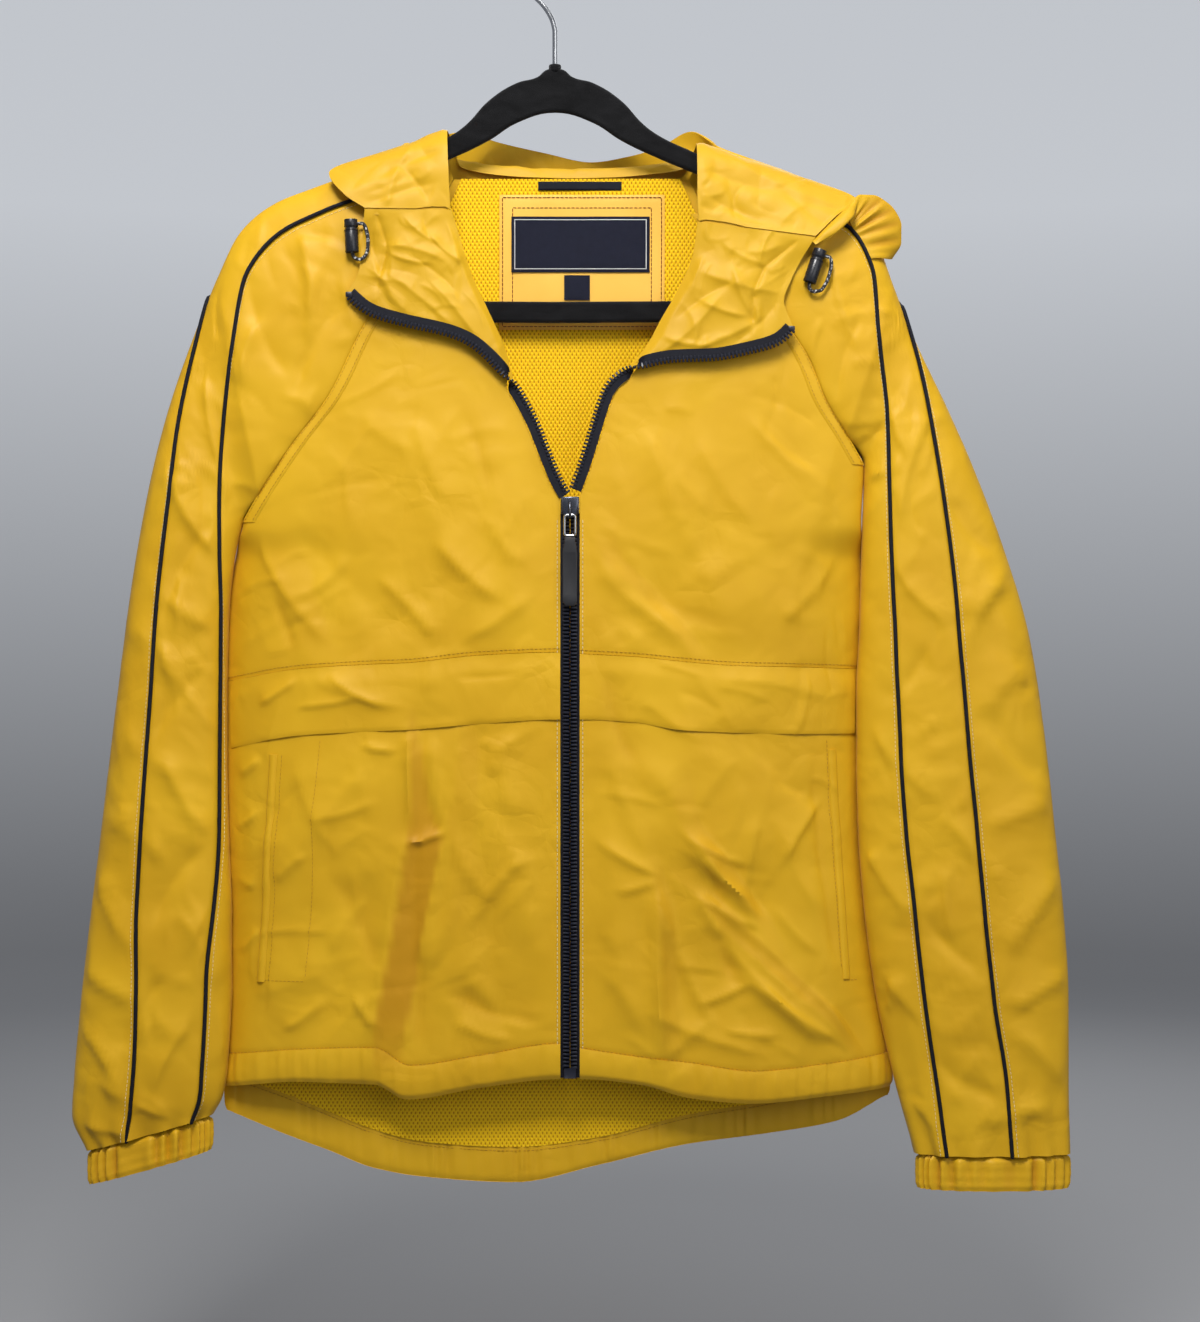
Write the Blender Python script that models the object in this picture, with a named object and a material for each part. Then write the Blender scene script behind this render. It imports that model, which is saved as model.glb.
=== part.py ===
"""A hooded raglan windbreaker, hung half open on a velvet-covered hanger.

Lengths are in millimetres until a mesh is made. The origin is the underside of the hook's top,
where the hanger hangs. +Z is up, the jacket faces -Y, and its wearer's right side is at -X.
A piece of cloth is a wall between an outer and an inner grid of points. Both grids come from the
same surface: the body, a sleeve, the hood or a lapel, each a function of a place on it and of
how far the point is moved out of it.
"""

import math

import bmesh
import bpy
import numpy as np

MM = 0.001
WALL = 1.2  # cloth, with its seam allowances pressed flat
LAID_WALL = 1.2  # a welt or flap laid on a panel
HEM_WALL = 2.6  # cloth turned up twice round a cord or elastic
SEAM = 0.5  # between the pieces of one seam
LAID = 0.5  # between a piece and what it lies on
CENTRE_X = 10.5  # the zip
BODY_ROUND = 2.6  # how squarely the front and back turn in at the sides
SLEEVE_ROUND = 2.4
SIDE_TUCK = 13.0  # how far back the body's side edges lie, behind the sleeves' inner folds
TUCK_Z = (-400.0, -425.0)  # where the tuck starts and where it is whole
TUCK_POWER = 6
TUCK_ROWS = (-404.0, -410.0, -416.0, -425.0, -445.0, -470.0)  # rows that follow it, front and back
FLAP_REACH = 0.975  # how far the storm flap runs towards the side seam
LINING_WALL = 0.9
LINING_GAP = 0.8
PIPING = 1.4  # its radius
PIPING_OUT = 3.0  # from the sleeve's surface to the piping's middle
LAPEL_STAND = 4.0  # from the front to the lapel laid over it
BRIM_OUT = (3.0, 1.6)  # both faces of the brim's casing, off the hood's surface
LOW_FRONT_Z = -650.0  # where the front's width is taken for its lines
TAIL_Z = -790.0  # where the back's width is taken for its tail
TAIL_GATHERS = 28
CUFF_GATHERS = 16

SLIDER_Z = -390.0
ZIP_END_Z = -773.0
TAPE_WIDTH = 6.0
TEETH_WIDTH = 6.0
ELASTIC_HEIGHT = 24.0

# The flat body's side edges and its half depths, from the neck to the tail.
BODY_COLUMNS = ("z", "right_x", "left_x", "front", "back")
BODY = (
    (-130, -212, 210, 9, 9),
    (-160, -212, 210, 12, 12.5),
    (-190, -212, 210, 15, 14),
    (-260, -212, 210, 19, 15),
    (-361, -212, 210, 22, 16.5),
    (-400, -212, 208.2, 23, 17),
    (-410, -213.9, 208.3, 23.2, 17),
    (-425, -218.3, 209, 23.4, 17),
    (-445, -222.7, 210.1, 23.7, 17),
    (-470, -224.5, 209.5, 24, 17),
    (-520, -225.5, 207.5, 24, 17),
    (-610, -224.5, 208.5, 23, 17),
    (-660, -222.5, 212.5, 22, 16.5),
    (-710, -222.5, 219, 21, 16),
    (-760, -224.5, 228, 20, 15),
    (-800, -230, 231, 18, 14),
    (-860, -231, 231, 17, 13),
)

# Sleeve sections from the neck to the cuff. The seam is the front raglan seam as far as row 6, and
# the inner fold below it. The ridge is the shoulder and then the outer fold. A piping's place is
# 0 at the seam, 1 at the ridge and 2 at the back seam.
SLEEVE_COLUMNS = (
    "seam_x", "seam_z", "ridge_x", "ridge_z", "back_x", "back_z",
    "puff", "under", "front_piping", "back_piping",
)
SLEEVE_RIGHT = (
    (-78, -190, -76, -136, -70, -163, 0, 0, 0.70, 1.35),
    (-103, -229, -118, -155, -92, -205, 2, 0, 0.74, 1.30),
    (-129, -268, -160, -170, -115, -248, 3, 0, 0.80, 1.25),
    (-152, -314, -192, -183, -142, -293, 4, 0, 0.83, 1.20),
    (-177, -347, -214, -202, -168, -333, 6, 0, 0.80, 1.12),
    (-199, -379, -229, -232, -193, -371, 9, 0, 0.62, 1.04),
    (-212, -400, -243, -266, -212, -400, 14, 0, 0.40, 0.95),
    (-219, -432, -260, -314, -219, -432, 18, 0.1, 0.17, 0.84),
    (-222, -468, -272, -358, -222, -468, 20, 0.2, 0.07, 0.75),
    (-223, -512, -286, -432, -223, -512, 21, 0.3, 0.05, 0.70),
    (-223, -560, -297, -515, -223, -560, 22, 0.3, 0.05, 0.66),
    (-222, -610, -306, -590, -222, -610, 22, 0.3, 0.06, 0.65),
    (-220, -660, -314, -655, -220, -660, 21, 0.3, 0.11, 0.64),
    (-220, -710, -321, -714, -220, -710, 21, 0.3, 0.15, 0.60),
    (-222, -760, -326, -768, -222, -760, 20, 0.3, 0.15, 0.58),
    (-226, -788, -328, -800, -226, -788, 18, 0.3, 0.14, 0.58),
    (-233, -801, -318, -825, -233, -801, 15, 0.3, 0.15, 0.65),
)
SLEEVE_LEFT = (
    (99, -190, 98, -145.5, 92, -163, 0, 0, 0.72, 1.35),
    (128, -228, 135, -161, 112, -203, 2, 0, 0.76, 1.32),
    (155, -264, 172, -174, 138, -243, 3, 0, 0.82, 1.28),
    (172, -290, 203, -188, 160, -279, 4, 0, 0.87, 1.24),
    (183, -317, 219, -209, 177, -312, 6, 0, 0.84, 1.16),
    (197, -340, 230, -238, 193, -337, 9, 0, 0.64, 1.04),
    (210, -361, 246, -278, 210, -361, 14, 0, 0.40, 0.94),
    (209, -395, 266, -320, 209, -395, 18, 0.1, 0.29, 0.79),
    (208, -432, 286, -366, 208, -432, 20, 0.1, 0.24, 0.69),
    (207, -470, 306, -420, 207, -470, 21, 0.1, 0.22, 0.62),
    (205, -515, 322, -475, 205, -515, 22, 0.1, 0.22, 0.58),
    (205, -560, 333, -545, 205, -560, 22, 0.1, 0.22, 0.57),
    (206, -608, 340, -610, 206, -608, 21, 0.1, 0.23, 0.58),
    (210, -660, 346, -668, 210, -660, 21, 0.1, 0.24, 0.58),
    (217, -714, 349, -722, 217, -714, 20, 0.1, 0.24, 0.59),
    (230, -774, 349, -778, 230, -774, 18, 0.1, 0.23, 0.62),
    (245, -827, 350, -827, 245, -827, 16, 0.1, 0.19, 0.60),
)
UNDERARM_ROW = 6

# The open half of the zip, from the slider to its top end on the turned-out lapel.
OPENING = {
    "right": (
        (9.5, -383), (4, -375), (-4, -356), (-14, -331), (-26, -309), (-41, -292),
        (-56, -279), (-70, -273), (-100, -266), (-125, -258), (-139, -246),
    ),
    "left": (
        (12, -380), (18, -364), (24, -345), (30, -325), (37, -307), (48, -298),
        (63, -293), (80, -290), (107, -289), (128, -285), (151, -278), (160, -269),
    ),
}
FOLD_POINT = {"right": 4, "left": 5}  # the point of OPENING where the lapel turns out
# The lapel's fold, from the zip up to the hood seam.
LAPEL_FOLD = {
    "right": ((-26, -309), (-33, -283), (-44, -258), (-55, -234), (-62, -213), (-69, -190)),
    "left": ((48, -298), (63, -279), (71, -264), (84, -241), (93, -219), (96, -198)),
}
# The lapel's free edge, from the zip's top end up to the hood seam.
LAPEL_EDGE = {
    "right": ((-139, -246), (-131, -230), (-129, -209), (-127, -190)),
    "left": ((160, -269), (154, -251), (158, -239), (166, -223), (175, -209)),
}

# Hood sections, from the right lapel round the back of the neck to the left lapel: where each
# leaves the neck, where it ends at the brim, and how far it hangs as a bag in between.
HOOD_COLUMNS = ("neck_x", "neck_y", "neck_z", "brim_x", "brim_y", "brim_z", "drop")
HOOD = (
    (-70, -21, -189.5, -127, -25, -189.5, 0),
    (-71, -21, -168, -141, -24, -180, 0),
    (-72, -17.5, -147, -152, -14, -164, 0),
    (-73, -1, -133, -122, 1, -148.5, 0),
    (-70, 13, -139, -96, 19, -137.5, 8),
    (-66, 17, -153, -62, 25, -127.5, 115),
    (-42, 17, -159, -42, 31, -133, 165),
    (-14, 17, -161, -8, 36, -140, 192),
    (12, 17, -161.5, 24, 38, -146, 200),
    (38, 17, -161, 50, 36, -142.5, 195),
    (64, 17, -159, 72, 31, -137, 170),
    (88, 17, -155, 93, 25, -127.5, 120),
    (94, 13, -147, 114, 19, -140, 8),
    (96, -1, -142, 162, 1, -162, 0),
    (96, -17.5, -156, 204, -10, -181.5, 0),
    (96, -21, -178, 190, -21, -193.5, 0),
    (97, -21.5, -197.5, 175, -25.5, -208.5, 0),
)
HOOD_CENTRE_ROWS = (6, 10)
# How a section runs from the neck to the brim: share of the way across, share of the drop, and
# its lift, its push away from the back and its spread sideways where it hangs.
HOOD_RUN_COLUMNS = ("across", "down", "lift", "push", "spread")
HOOD_RUN = (
    (0.00, 0.00, 0.0, 0.0, 0.00),
    (0.08, -0.02, 1.5, 1.5, 0.04),
    (0.20, 0.12, 1.5, 3.0, 0.16),
    (0.30, 0.45, 1.0, 4.0, 0.34),
    (0.42, 0.85, 0.0, 5.0, 0.48),
    (0.55, 1.00, 0.0, 8.0, 0.52),
    (0.70, 0.85, 0.0, 14.0, 0.54),
    (0.82, 0.45, 0.0, 12.0, 0.42),
    (0.92, 0.12, 0.0, 5.0, 0.18),
    (1.00, 0.00, 0.0, 0.0, 0.00),
)
BRIM_FROM = 0.84
# The brim's rolled left end, from the cord lock up over the shoulder: its two edges.
ROLL_COLUMNS = ("x1", "y1", "z1", "x2", "y2", "z2")
ROLL = (
    (175.4, -26.2, -209.1, 180, -28.5, -213.5),
    (182.9, -23.9, -201.4, 188, -28, -206.5),
    (190.4, -21.6, -193.9, 196, -27, -199),
    (197.4, -16.1, -187.8, 203, -23, -193),
    (204.8, -11.2, -181.9, 208.5, -15, -189),
    (213, -8.5, -179.5, 212, -6, -188.5),
    (222, -7, -181, 216, -1, -190),
    (230, -6, -187.5, 220, 2, -194),
    (235, -5, -198, 223, 4, -201),
    (235.5, -4, -210, 225.5, 5, -209),
    (231, -3, -221, 227, 4, -219),
)
ROLL_BULGE = 2.5
ROLL_RUCHES_FROM = 0.4  # the share of its length from which it is gathered
BAG_DROP = 130.0  # from this drop on, the bag is pushed out in full

# Heights across the front, by x: the yoke seam, the storm flap's free edge, the hem's stitching
# and the hem's lower edge.
FRONT_LINES_COLUMNS = ("x", "yoke", "flap", "stitch", "edge")
FRONT_LINES = (
    (-222, -507, -553, -761, -783),
    (-169, -498, -543, -755, -777),
    (-120, -495, -540, -753, -778),
    (-97, -494, -539, -765, -788),
    (-50, -489, -535, -758, -780),
    (3, -487, -532, -750, -774),
    (18, -488, -532, -753, -774),
    (55, -490, -534, -759, -778),
    (85, -493, -539, -763, -787),
    (125, -496, -541, -769, -791),
    (170, -497, -542, -765, -787),
    (228, -499, -542, -758, -782),
)
# The dropped tail of the back: the top of its hem band and its lower edge.
TAIL_COLUMNS = ("x", "band", "edge")
TAIL = (
    (-231, -776, -800),
    (-186, -790, -817),
    (-155, -802, -828),
    (-124, -814, -840),
    (-91, -822, -846),
    (-27, -826, -850),
    (31, -819, -838),
    (90, -804, -824),
    (148, -794, -816),
    (194, -784, -808),
    (229, -770, -791),
)

# The pressed folds of the body's front: both ends, half width and height (a trough is negative).
FOLD_COLUMNS = ("x1", "z1", "x2", "z2", "half_width", "height")
FRONT_FOLDS = (
    (-91, -540, -106, -750, 11, -2.2),
    (-120, -560, -132, -745, 16, 1.4),
    (98, -600, 150, -670, 12, -1.8),
    (112, -650, 200, -745, 14, 2.0),
    (70, -650, 74, -745, 13, -1.5),
    (-95, -330, -60, -430, 18, 1.4),
    (95, -330, 60, -440, 18, 1.2),
)

# Pieces sewn flat inside the back of the neck: left x, right x, top z, bottom z, depth inwards.
NECK_PIECE_COLUMNS = ("x1", "x2", "top", "bottom", "inwards")
NECK_PIECES = {
    "neck_patch": (-39, 76, -174, -266, 3.5),
    "neck_label": (-31, 66, -189, -227, 5.2),
    "size_tab": (6, 24, -229, -246, 5.2),
    "hang_loop": (-12, 46, -165, -171, 3.5),
}

# Pocket welts on the lower fronts: x at the top and bottom of the opening, and the two heights.
WELT = {"right": (-191.5, -200.5, -556, -710), "left": (190.5, 199, -553, -708)}
WELT_WIDTH = 5.0

# The hood cord's locks: top and bottom of each barrel. The cord loops out on one side of it.
LOCK = {"right": ((-136.5, -197), (-135.5, -219)), "left": ((178.5, -217), (171, -239))}
LOCK_WIDTH = 9.0
CORD = 1.2  # its radius
CORD_AIM = {"right": 1, "left": 1}
TAB_LENGTH = 46.0

# The hanger's outline on one side of its middle, from the arch down the arm to the bar.
HANGER_THICK = 6.0
HANGER_OUTER = (
    (5.5, -91), (12, -96), (26, -100), (45, -112), (60, -128), (71, -136), (94, -147),
    (150, -173), (192, -193), (203, -200), (208, -212), (204, -234), (192, -250), (176, -257.5),
)
HANGER_INNER = (
    (0, -120), (26, -127), (45, -139), (70, -151), (94, -161), (150, -187), (186, -205),
    (193, -213), (190, -230), (182, -240), (170, -245),
)
HOOK_RADIUS = 23.75
HOOK_WIRE = 3.5
HOOK_TIP_DEGREES = -28.0

COLLECTION = "hooded windbreaker on a hanger"
YELLOW = (0.72, 0.44, 0.028)
BRIGHT_YELLOW = (0.86, 0.55, 0.05)
MESH_YELLOW = (0.78, 0.46, 0.012)
NAVY = (0.012, 0.014, 0.03)
STEEL = (0.62, 0.62, 0.62)
BLACK = (0.004, 0.004, 0.004)
FINISHES = {
    "cloth": (YELLOW, 0.55, 0.0),
    "facing": (BRIGHT_YELLOW, 0.55, 0.0),
    "lining": (MESH_YELLOW, 0.8, 0.0),
    "piping": (NAVY, 0.6, 0.0),
    "teeth": (NAVY, 0.35, 0.0),
    "metal": (STEEL, 0.25, 1.0),
    "velvet": (BLACK, 1.0, 0.0),
}


def columns(rows, names):
    """The table's columns by name, as arrays."""
    return dict(zip(names, np.array(rows, float).T))


BODY_AT = columns(BODY, BODY_COLUMNS)
LINE_AT = columns(FRONT_LINES, FRONT_LINES_COLUMNS)
TAIL_AT = columns(TAIL, TAIL_COLUMNS)
SLEEVE_AT = {
    "right": columns(SLEEVE_RIGHT, SLEEVE_COLUMNS),
    "left": columns(SLEEVE_LEFT, SLEEVE_COLUMNS),
}
HOOD_AT = columns(HOOD, HOOD_COLUMNS)
HOOD_RUN_AT = columns(HOOD_RUN, HOOD_RUN_COLUMNS)
SLEEVE_ROWS = len(SLEEVE_RIGHT)
SIGN = {"right": -1, "left": 1}
PANEL_SHARES = np.sin(np.linspace(0, 1, 12) * np.pi / 2) ** 0.9


def at(place, table, name, key):
    """The value of a column where another column has the value place."""
    order = np.argsort(table[key])
    return np.interp(place, table[key][order], table[name][order])


def row_value(table, name, row):
    """The value of a column at a whole or part row."""
    return np.interp(row, np.arange(len(table[name])), table[name])


def along(path, share):
    """The point at a share of a path's length."""
    path = np.array(path, float)
    run = np.concatenate([[0], np.cumsum(np.linalg.norm(np.diff(path, axis=0), axis=1))])
    return np.array([np.interp(share * run[-1], run, column) for column in path.T])


def eased(count, ease=0.6):
    """Shares from 0 to 1, closer together towards both ends."""
    even = np.linspace(0, 1, count)
    return (1 - ease) * even + ease * (1 - np.cos(np.pi * even)) / 2


# ---------------------------------------------------------------- surfaces


def rounding(share, power=BODY_ROUND):
    """1 in the middle of a hollow and 0 at its edge, on a rounded arch."""
    return max(0.0, 1 - min(1.0, abs(share)) ** power) ** (1 / power)


def fold_height(x, z):
    """How far the pressed folds stand out of the front at a place."""
    height = 0.0
    for x1, z1, x2, z2, half_width, rise in FRONT_FOLDS:
        run = np.array([x2 - x1, z2 - z1], float)
        place = np.array([x - x1, z - z1])
        share = float(place @ run / (run @ run))
        aside = abs(float(place[0] * run[1] - place[1] * run[0])) / math.hypot(*run)
        fade = max(0.0, 1 - abs(2 * share - 1) ** 4)
        height += rise * fade * math.exp(-((aside / half_width) ** 2))
    return height


def side_tuck(z, share):
    """How far back the body lies near its sides, below the underarms."""
    top, whole = TUCK_Z
    ramp = min(1.0, max(0.0, (top - z) / (top - whole)))
    return SIDE_TUCK * ramp * ramp * (3 - 2 * ramp) * min(1.0, abs(share)) ** TUCK_POWER


def body_point(x, z, out=0.0, front=True):
    """A point of the body's front or back, moved out of it."""
    side = at(z, BODY_AT, "left_x" if x > CENTRE_X else "right_x", "z")
    half = side - CENTRE_X
    share = (x - CENTRE_X) / half
    depth = at(z, BODY_AT, "front" if front else "back", "z") + out
    depth = SEAM / 2 + depth * rounding(share)
    if front:
        depth += fold_height(x, z) * rounding(share)
    moved_x = x + out * math.copysign(1, half) * share
    return np.array([moved_x, (-depth if front else depth) + side_tuck(z, share), z])


def sleeve_point(side, row, turn, out=0.0):
    """A point of a sleeve, moved out of it.

    The turn is 0 at the front seam, 1 at the ridge and 2 at the back seam. Just below 0 is the
    sleeve's back again, where the front panel reaches round its inner fold.
    """
    table = SLEEVE_AT[side]
    front = 0 <= turn <= 1
    names = ("seam_x", "seam_z") if front else ("back_x", "back_z")
    start = np.array([row_value(table, name, row) for name in names])
    ridge = np.array([row_value(table, name, row) for name in ("ridge_x", "ridge_z")])
    share = abs(turn) if turn <= 1 else 2 - turn
    whole = min(1.0, max(0.0, row - (UNDERARM_ROW - 1)))
    across = ridge - start
    length = np.linalg.norm(across)
    across /= length
    body_depth = abs(body_point(*start, front=front)[1]) * (1 - whole) + SEAM / 2 * whole
    puff = row_value(table, "puff", row)
    arch = rounding(share, SLEEVE_ROUND)
    closed = rounding(2 * share - 1, SLEEVE_ROUND)
    depth = (body_depth + out * (1 - whole)) * arch + (puff + out * whole) * closed
    place = start + across * (share * (length + out * (1 + whole)) - out * whole)
    return np.array([place[0], -depth if front else depth, place[1]])


def hood_point(row, share):
    """A point of the hood's middle surface, from the neck at 0 to the brim at 1."""
    neck = np.array([row_value(HOOD_AT, name, row) for name in HOOD_COLUMNS[:3]])
    brim = np.array([row_value(HOOD_AT, name, row) for name in HOOD_COLUMNS[3:6]])
    drop = row_value(HOOD_AT, "drop", row)
    knots = np.linspace(0, 1, len(HOOD_RUN))
    across, down, lift, push, spread = (
        np.interp(share, knots, HOOD_RUN_AT[name]) for name in HOOD_RUN_COLUMNS
    )
    point = neck + across * (brim - neck)
    hang = min(1.0, drop / BAG_DROP)
    aside = spread * hang * (point[0] - CENTRE_X)
    return point + np.array([aside, push * hang, lift - down * drop])


def lapel_point(side, across, up):
    """A point of the turned-out lapel: across runs from its fold, up from the zip."""
    fold, edge = LAPEL_FOLD[side], LAPEL_EDGE[side]
    zip_path = OPENING[side][FOLD_POINT[side]:]
    chord = (1 - across) * along(zip_path, 0) + across * along(zip_path, 1)
    sides = (1 - across) * along(fold, up) + across * along(edge, up)
    x, z = sides + (1 - up) * (along(zip_path, across) - chord)
    stand = LAPEL_STAND * (1 + math.sin(math.pi * min(1.0, across * 1.1)) * (0.4 + 0.6 * up))
    return np.array([x, -at(z, BODY_AT, "front", "z") - SEAM - stand, z])


# ---------------------------------------------------------------- making meshes

collection = bpy.data.collections.new(COLLECTION)
cutters = bpy.data.collections.new("cutters")


def material(finish):
    """The finish's Principled material, made once."""
    name = "finish_" + finish
    made = bpy.data.materials.get(name)
    if made is None:
        made = bpy.data.materials.new(name)
        made.use_nodes = True
        shader = made.node_tree.nodes["Principled BSDF"]
        colour, roughness, metallic = FINISHES[finish]
        shader.inputs["Base Color"].default_value = (*colour, 1)
        shader.inputs["Roughness"].default_value = roughness
        shader.inputs["Metallic"].default_value = metallic
        made.diffuse_color = (*colour, 1)
    return made


def add(name, data, finish):
    """An object of this data, in the collection and with its finish."""
    data.materials.append(material(finish))
    made = bpy.data.objects.new(name, data)
    collection.objects.link(made)
    return made


def add_bmesh(name, shape, finish):
    """The bmesh, in millimetres, as an object whose faces point out."""
    if shape.calc_volume(signed=True) < 0:
        bmesh.ops.reverse_faces(shape, faces=shape.faces[:])
    bmesh.ops.scale(shape, vec=(MM, MM, MM), verts=shape.verts[:])
    mesh = bpy.data.meshes.new(name)
    shape.to_mesh(mesh)
    shape.free()
    mesh.shade_smooth()
    mesh.set_sharp_from_angle(angle=math.radians(40))
    return add(name, mesh, finish)


def wall(name, outer, inner, finish="cloth", around=False):
    """A closed wall between two grids of points, around for a ring of columns."""
    outer, inner = np.array(outer), np.array(inner)
    rows, across = outer.shape[:2]
    shape = bmesh.new()
    skins = [
        [[shape.verts.new(point) for point in row] for row in grid] for grid in (outer, inner)
    ]
    steps = [(c, (c + 1) % across) for c in range(across if around else across - 1)]
    for skin, turned in zip(skins, (False, True)):
        for low, high in zip(skin[:-1], skin[1:]):
            for c, d in steps:
                corners = (low[c], low[d], high[d], high[c])
                shape.faces.new(corners[::-1] if turned else corners)
    for row, turned in ((0, True), (rows - 1, False)):
        for c, d in steps:
            corners = (skins[0][row][c], skins[0][row][d], skins[1][row][d], skins[1][row][c])
            shape.faces.new(corners[::-1] if turned else corners)
    for c, turned in () if around else ((0, False), (across - 1, True)):
        for r in range(rows - 1):
            corners = (skins[0][r][c], skins[0][r + 1][c], skins[1][r + 1][c], skins[1][r][c])
            shape.faces.new(corners[::-1] if turned else corners)
    return add_bmesh(name, shape, finish)


def normals(grid):
    """Unit normals of a grid of points: down its rows crossed with along its columns."""
    down, over = np.gradient(grid, axis=0), np.gradient(grid, axis=1)
    normal = np.cross(down, over)
    return normal / np.linalg.norm(normal, axis=2, keepdims=True)


def tube(name, points, radius, finish, resolution=1):
    """A round cord or wire through points."""
    curve = bpy.data.curves.new(name, "CURVE")
    curve.dimensions = "3D"
    curve.bevel_depth = radius * MM
    curve.bevel_resolution = resolution
    curve.use_fill_caps = True
    spline = curve.splines.new("POLY")
    spline.points.add(len(points) - 1)
    for point, place in zip(spline.points, points):
        point.co = (*(np.array(place) * MM), 1)
    return add(name, curve, finish)


def block(name, low, high, finish, bevel=0.0):
    """A box between two corners, with its edges bevelled."""
    shape = bmesh.new()
    bmesh.ops.create_cube(shape, size=1)
    size, middle = np.subtract(high, low), np.add(low, high) / 2
    bmesh.ops.scale(shape, vec=size, verts=shape.verts[:])
    bmesh.ops.translate(shape, vec=middle, verts=shape.verts[:])
    if bevel:
        bmesh.ops.bevel(
            shape, geom=shape.edges[:], offset=bevel, segments=1, affect="EDGES", profile=0.5
        )
    return add_bmesh(name, shape, finish)


# ---------------------------------------------------------------- the body


def opening_x(side, z):
    """The x of the front's free edge at a height, beside the zip tape or along the lapel's fold."""
    sign = SIGN[side]
    turn = FOLD_POINT[side]
    path = np.array(OPENING[side][: turn + 1] + LAPEL_FOLD[side][1:], float)
    if z <= path[0, 1]:
        return CENTRE_X + sign * (TAPE_WIDTH + SEAM)
    beside_tape = min(1.0, max(0.0, 1 - (z - path[turn, 1]) / TAPE_WIDTH / 2))
    x = np.interp(z, path[:, 1], path[:, 0])
    return x + sign * (TAPE_WIDTH * beside_tape + SEAM)


def body_walls(rows, outs, front=True):
    """The two grids of a wall on the body, from rows of (x, z)."""
    return [[[body_point(x, z, out, front) for x, z in row] for row in rows] for out in outs]


def make_upper_front(side):
    """The chest, from the neck seam and the raglan seam down to the yoke seam."""
    table, sign = SLEEVE_AT[side], SIGN[side]
    seam = [(table["seam_x"][r] - sign * SEAM, table["seam_z"][r]) for r in range(UNDERARM_ROW + 1)]
    ends = [seam[0]]
    for above, below in zip(seam[:-1], seam[1:]):
        ends += [tuple(np.mean([above, below], axis=0)), below]
    rows = []
    for end_x, z in ends:
        z = min(z, ends[0][1] - SEAM)
        start = opening_x(side, z)
        rows.append([(start + share * (end_x - start), z) for share in PANEL_SHARES])
    rows += [[front_place(side, share, z) for share in PANEL_SHARES] for z in TUCK_ROWS]
    yoke = [front_line(side, "yoke", share) + SEAM for share in PANEL_SHARES]
    rows.append([front_place(side, share, z) for share, z in zip(PANEL_SHARES, yoke)])
    return wall("front_upper_" + side, *body_walls(rows, (0, -WALL)))


def front_place(side, share, z):
    """The (x, z) at a share of the way from the front's free edge to its side seam."""
    start, end = opening_x(side, z), at(z, BODY_AT, side + "_x", "z")
    return start + share * (end - start), z


def front_line(side, name, share):
    """The height of one of the front's lines, straight between the panels' columns."""
    start = CENTRE_X + SIGN[side] * (TAPE_WIDTH + SEAM)
    end = at(LOW_FRONT_Z, BODY_AT, side + "_x", "z")
    heights = [at(start + s * (end - start), LINE_AT, name, "x") for s in PANEL_SHARES]
    return np.interp(share, PANEL_SHARES, heights)


def make_front_band(name, side, lines, outs, steps, ripple=0.0, reach=1.0):
    """A front piece between two of the front's lines, from the zip to the side seam."""
    halved = np.sort(np.concatenate([PANEL_SHARES, (PANEL_SHARES[1:] + PANEL_SHARES[:-1]) / 2]))
    shares = reach * (halved if ripple else PANEL_SHARES)
    grids = []
    for out in outs:
        grid = []
        for down in np.linspace(0, 1, steps):
            line = []
            for index, share in enumerate(shares):
                top, bottom = (front_line(side, key, share) for key in lines)
                x, z = front_place(side, share, top - SEAM + down * (bottom - top + SEAM))
                wave = ripple * down * math.cos(math.pi * index)
                line.append(body_point(x, z, out + wave))
            grid.append(line)
        grids.append(grid)
    return wall(name, *grids)


def make_welt(side):
    """The pocket's slanted welt, on the lower front beside the side seam."""
    top_x, bottom_x, top_z, bottom_z = WELT[side]
    inwards = -SIGN[side] * WELT_WIDTH
    rows = []
    for down in np.linspace(0, 1, 7):
        edge_x, z = top_x + (bottom_x - top_x) * down, top_z + (bottom_z - top_z) * down
        rows.append([(edge_x + inwards * share, z) for share in (0, 0.5, 1)])
    return wall("pocket_welt_" + side, *body_walls(rows, (LAID + LAID_WALL, LAID)))


def tail_place(name, share):
    """The (x, z) on one of the tail's lines, at a share of the way from right to left."""
    ends = [at(TAIL_Z, BODY_AT, side, "z") for side in ("right_x", "left_x")]
    z = at(ends[0] + share * (ends[1] - ends[0]), TAIL_AT, name, "x")
    ends = [at(z, BODY_AT, side, "z") for side in ("right_x", "left_x")]
    return ends[0] + share * (ends[1] - ends[0]), z


def back_rows(shares):
    """Rows of (x, z) across the back, from the neck to the top of the hem band."""
    right, left = SLEEVE_AT["right"], SLEEVE_AT["left"]
    rows = []
    for row in range(UNDERARM_ROW + 1):
        start = np.array([right["back_x"][row] + SEAM, right["back_z"][row]])
        end = np.array([left["back_x"][row] - SEAM, left["back_z"][row]])
        rows.append([tuple(start + share * (end - start)) for share in shares])
    whole_z = TUCK_ROWS[-1]
    for place in (*TUCK_ROWS, 0.2, 0.4, 0.6, 0.8, 1.0):
        line = []
        for share in shares:
            low_z = tail_place("band", share)[1] + SEAM
            z = place if place < 0 else whole_z + place * (low_z - whole_z)
            ends = [at(z, BODY_AT, side, "z") for side in ("right_x", "left_x")]
            line.append((ends[0] + share * (ends[1] - ends[0]), z))
        rows.append(line)
    return rows


def make_back():
    """The back panel."""
    rows = back_rows(eased(21))
    return wall("back_panel", *body_walls(rows, (0, -WALL), front=False))


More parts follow.
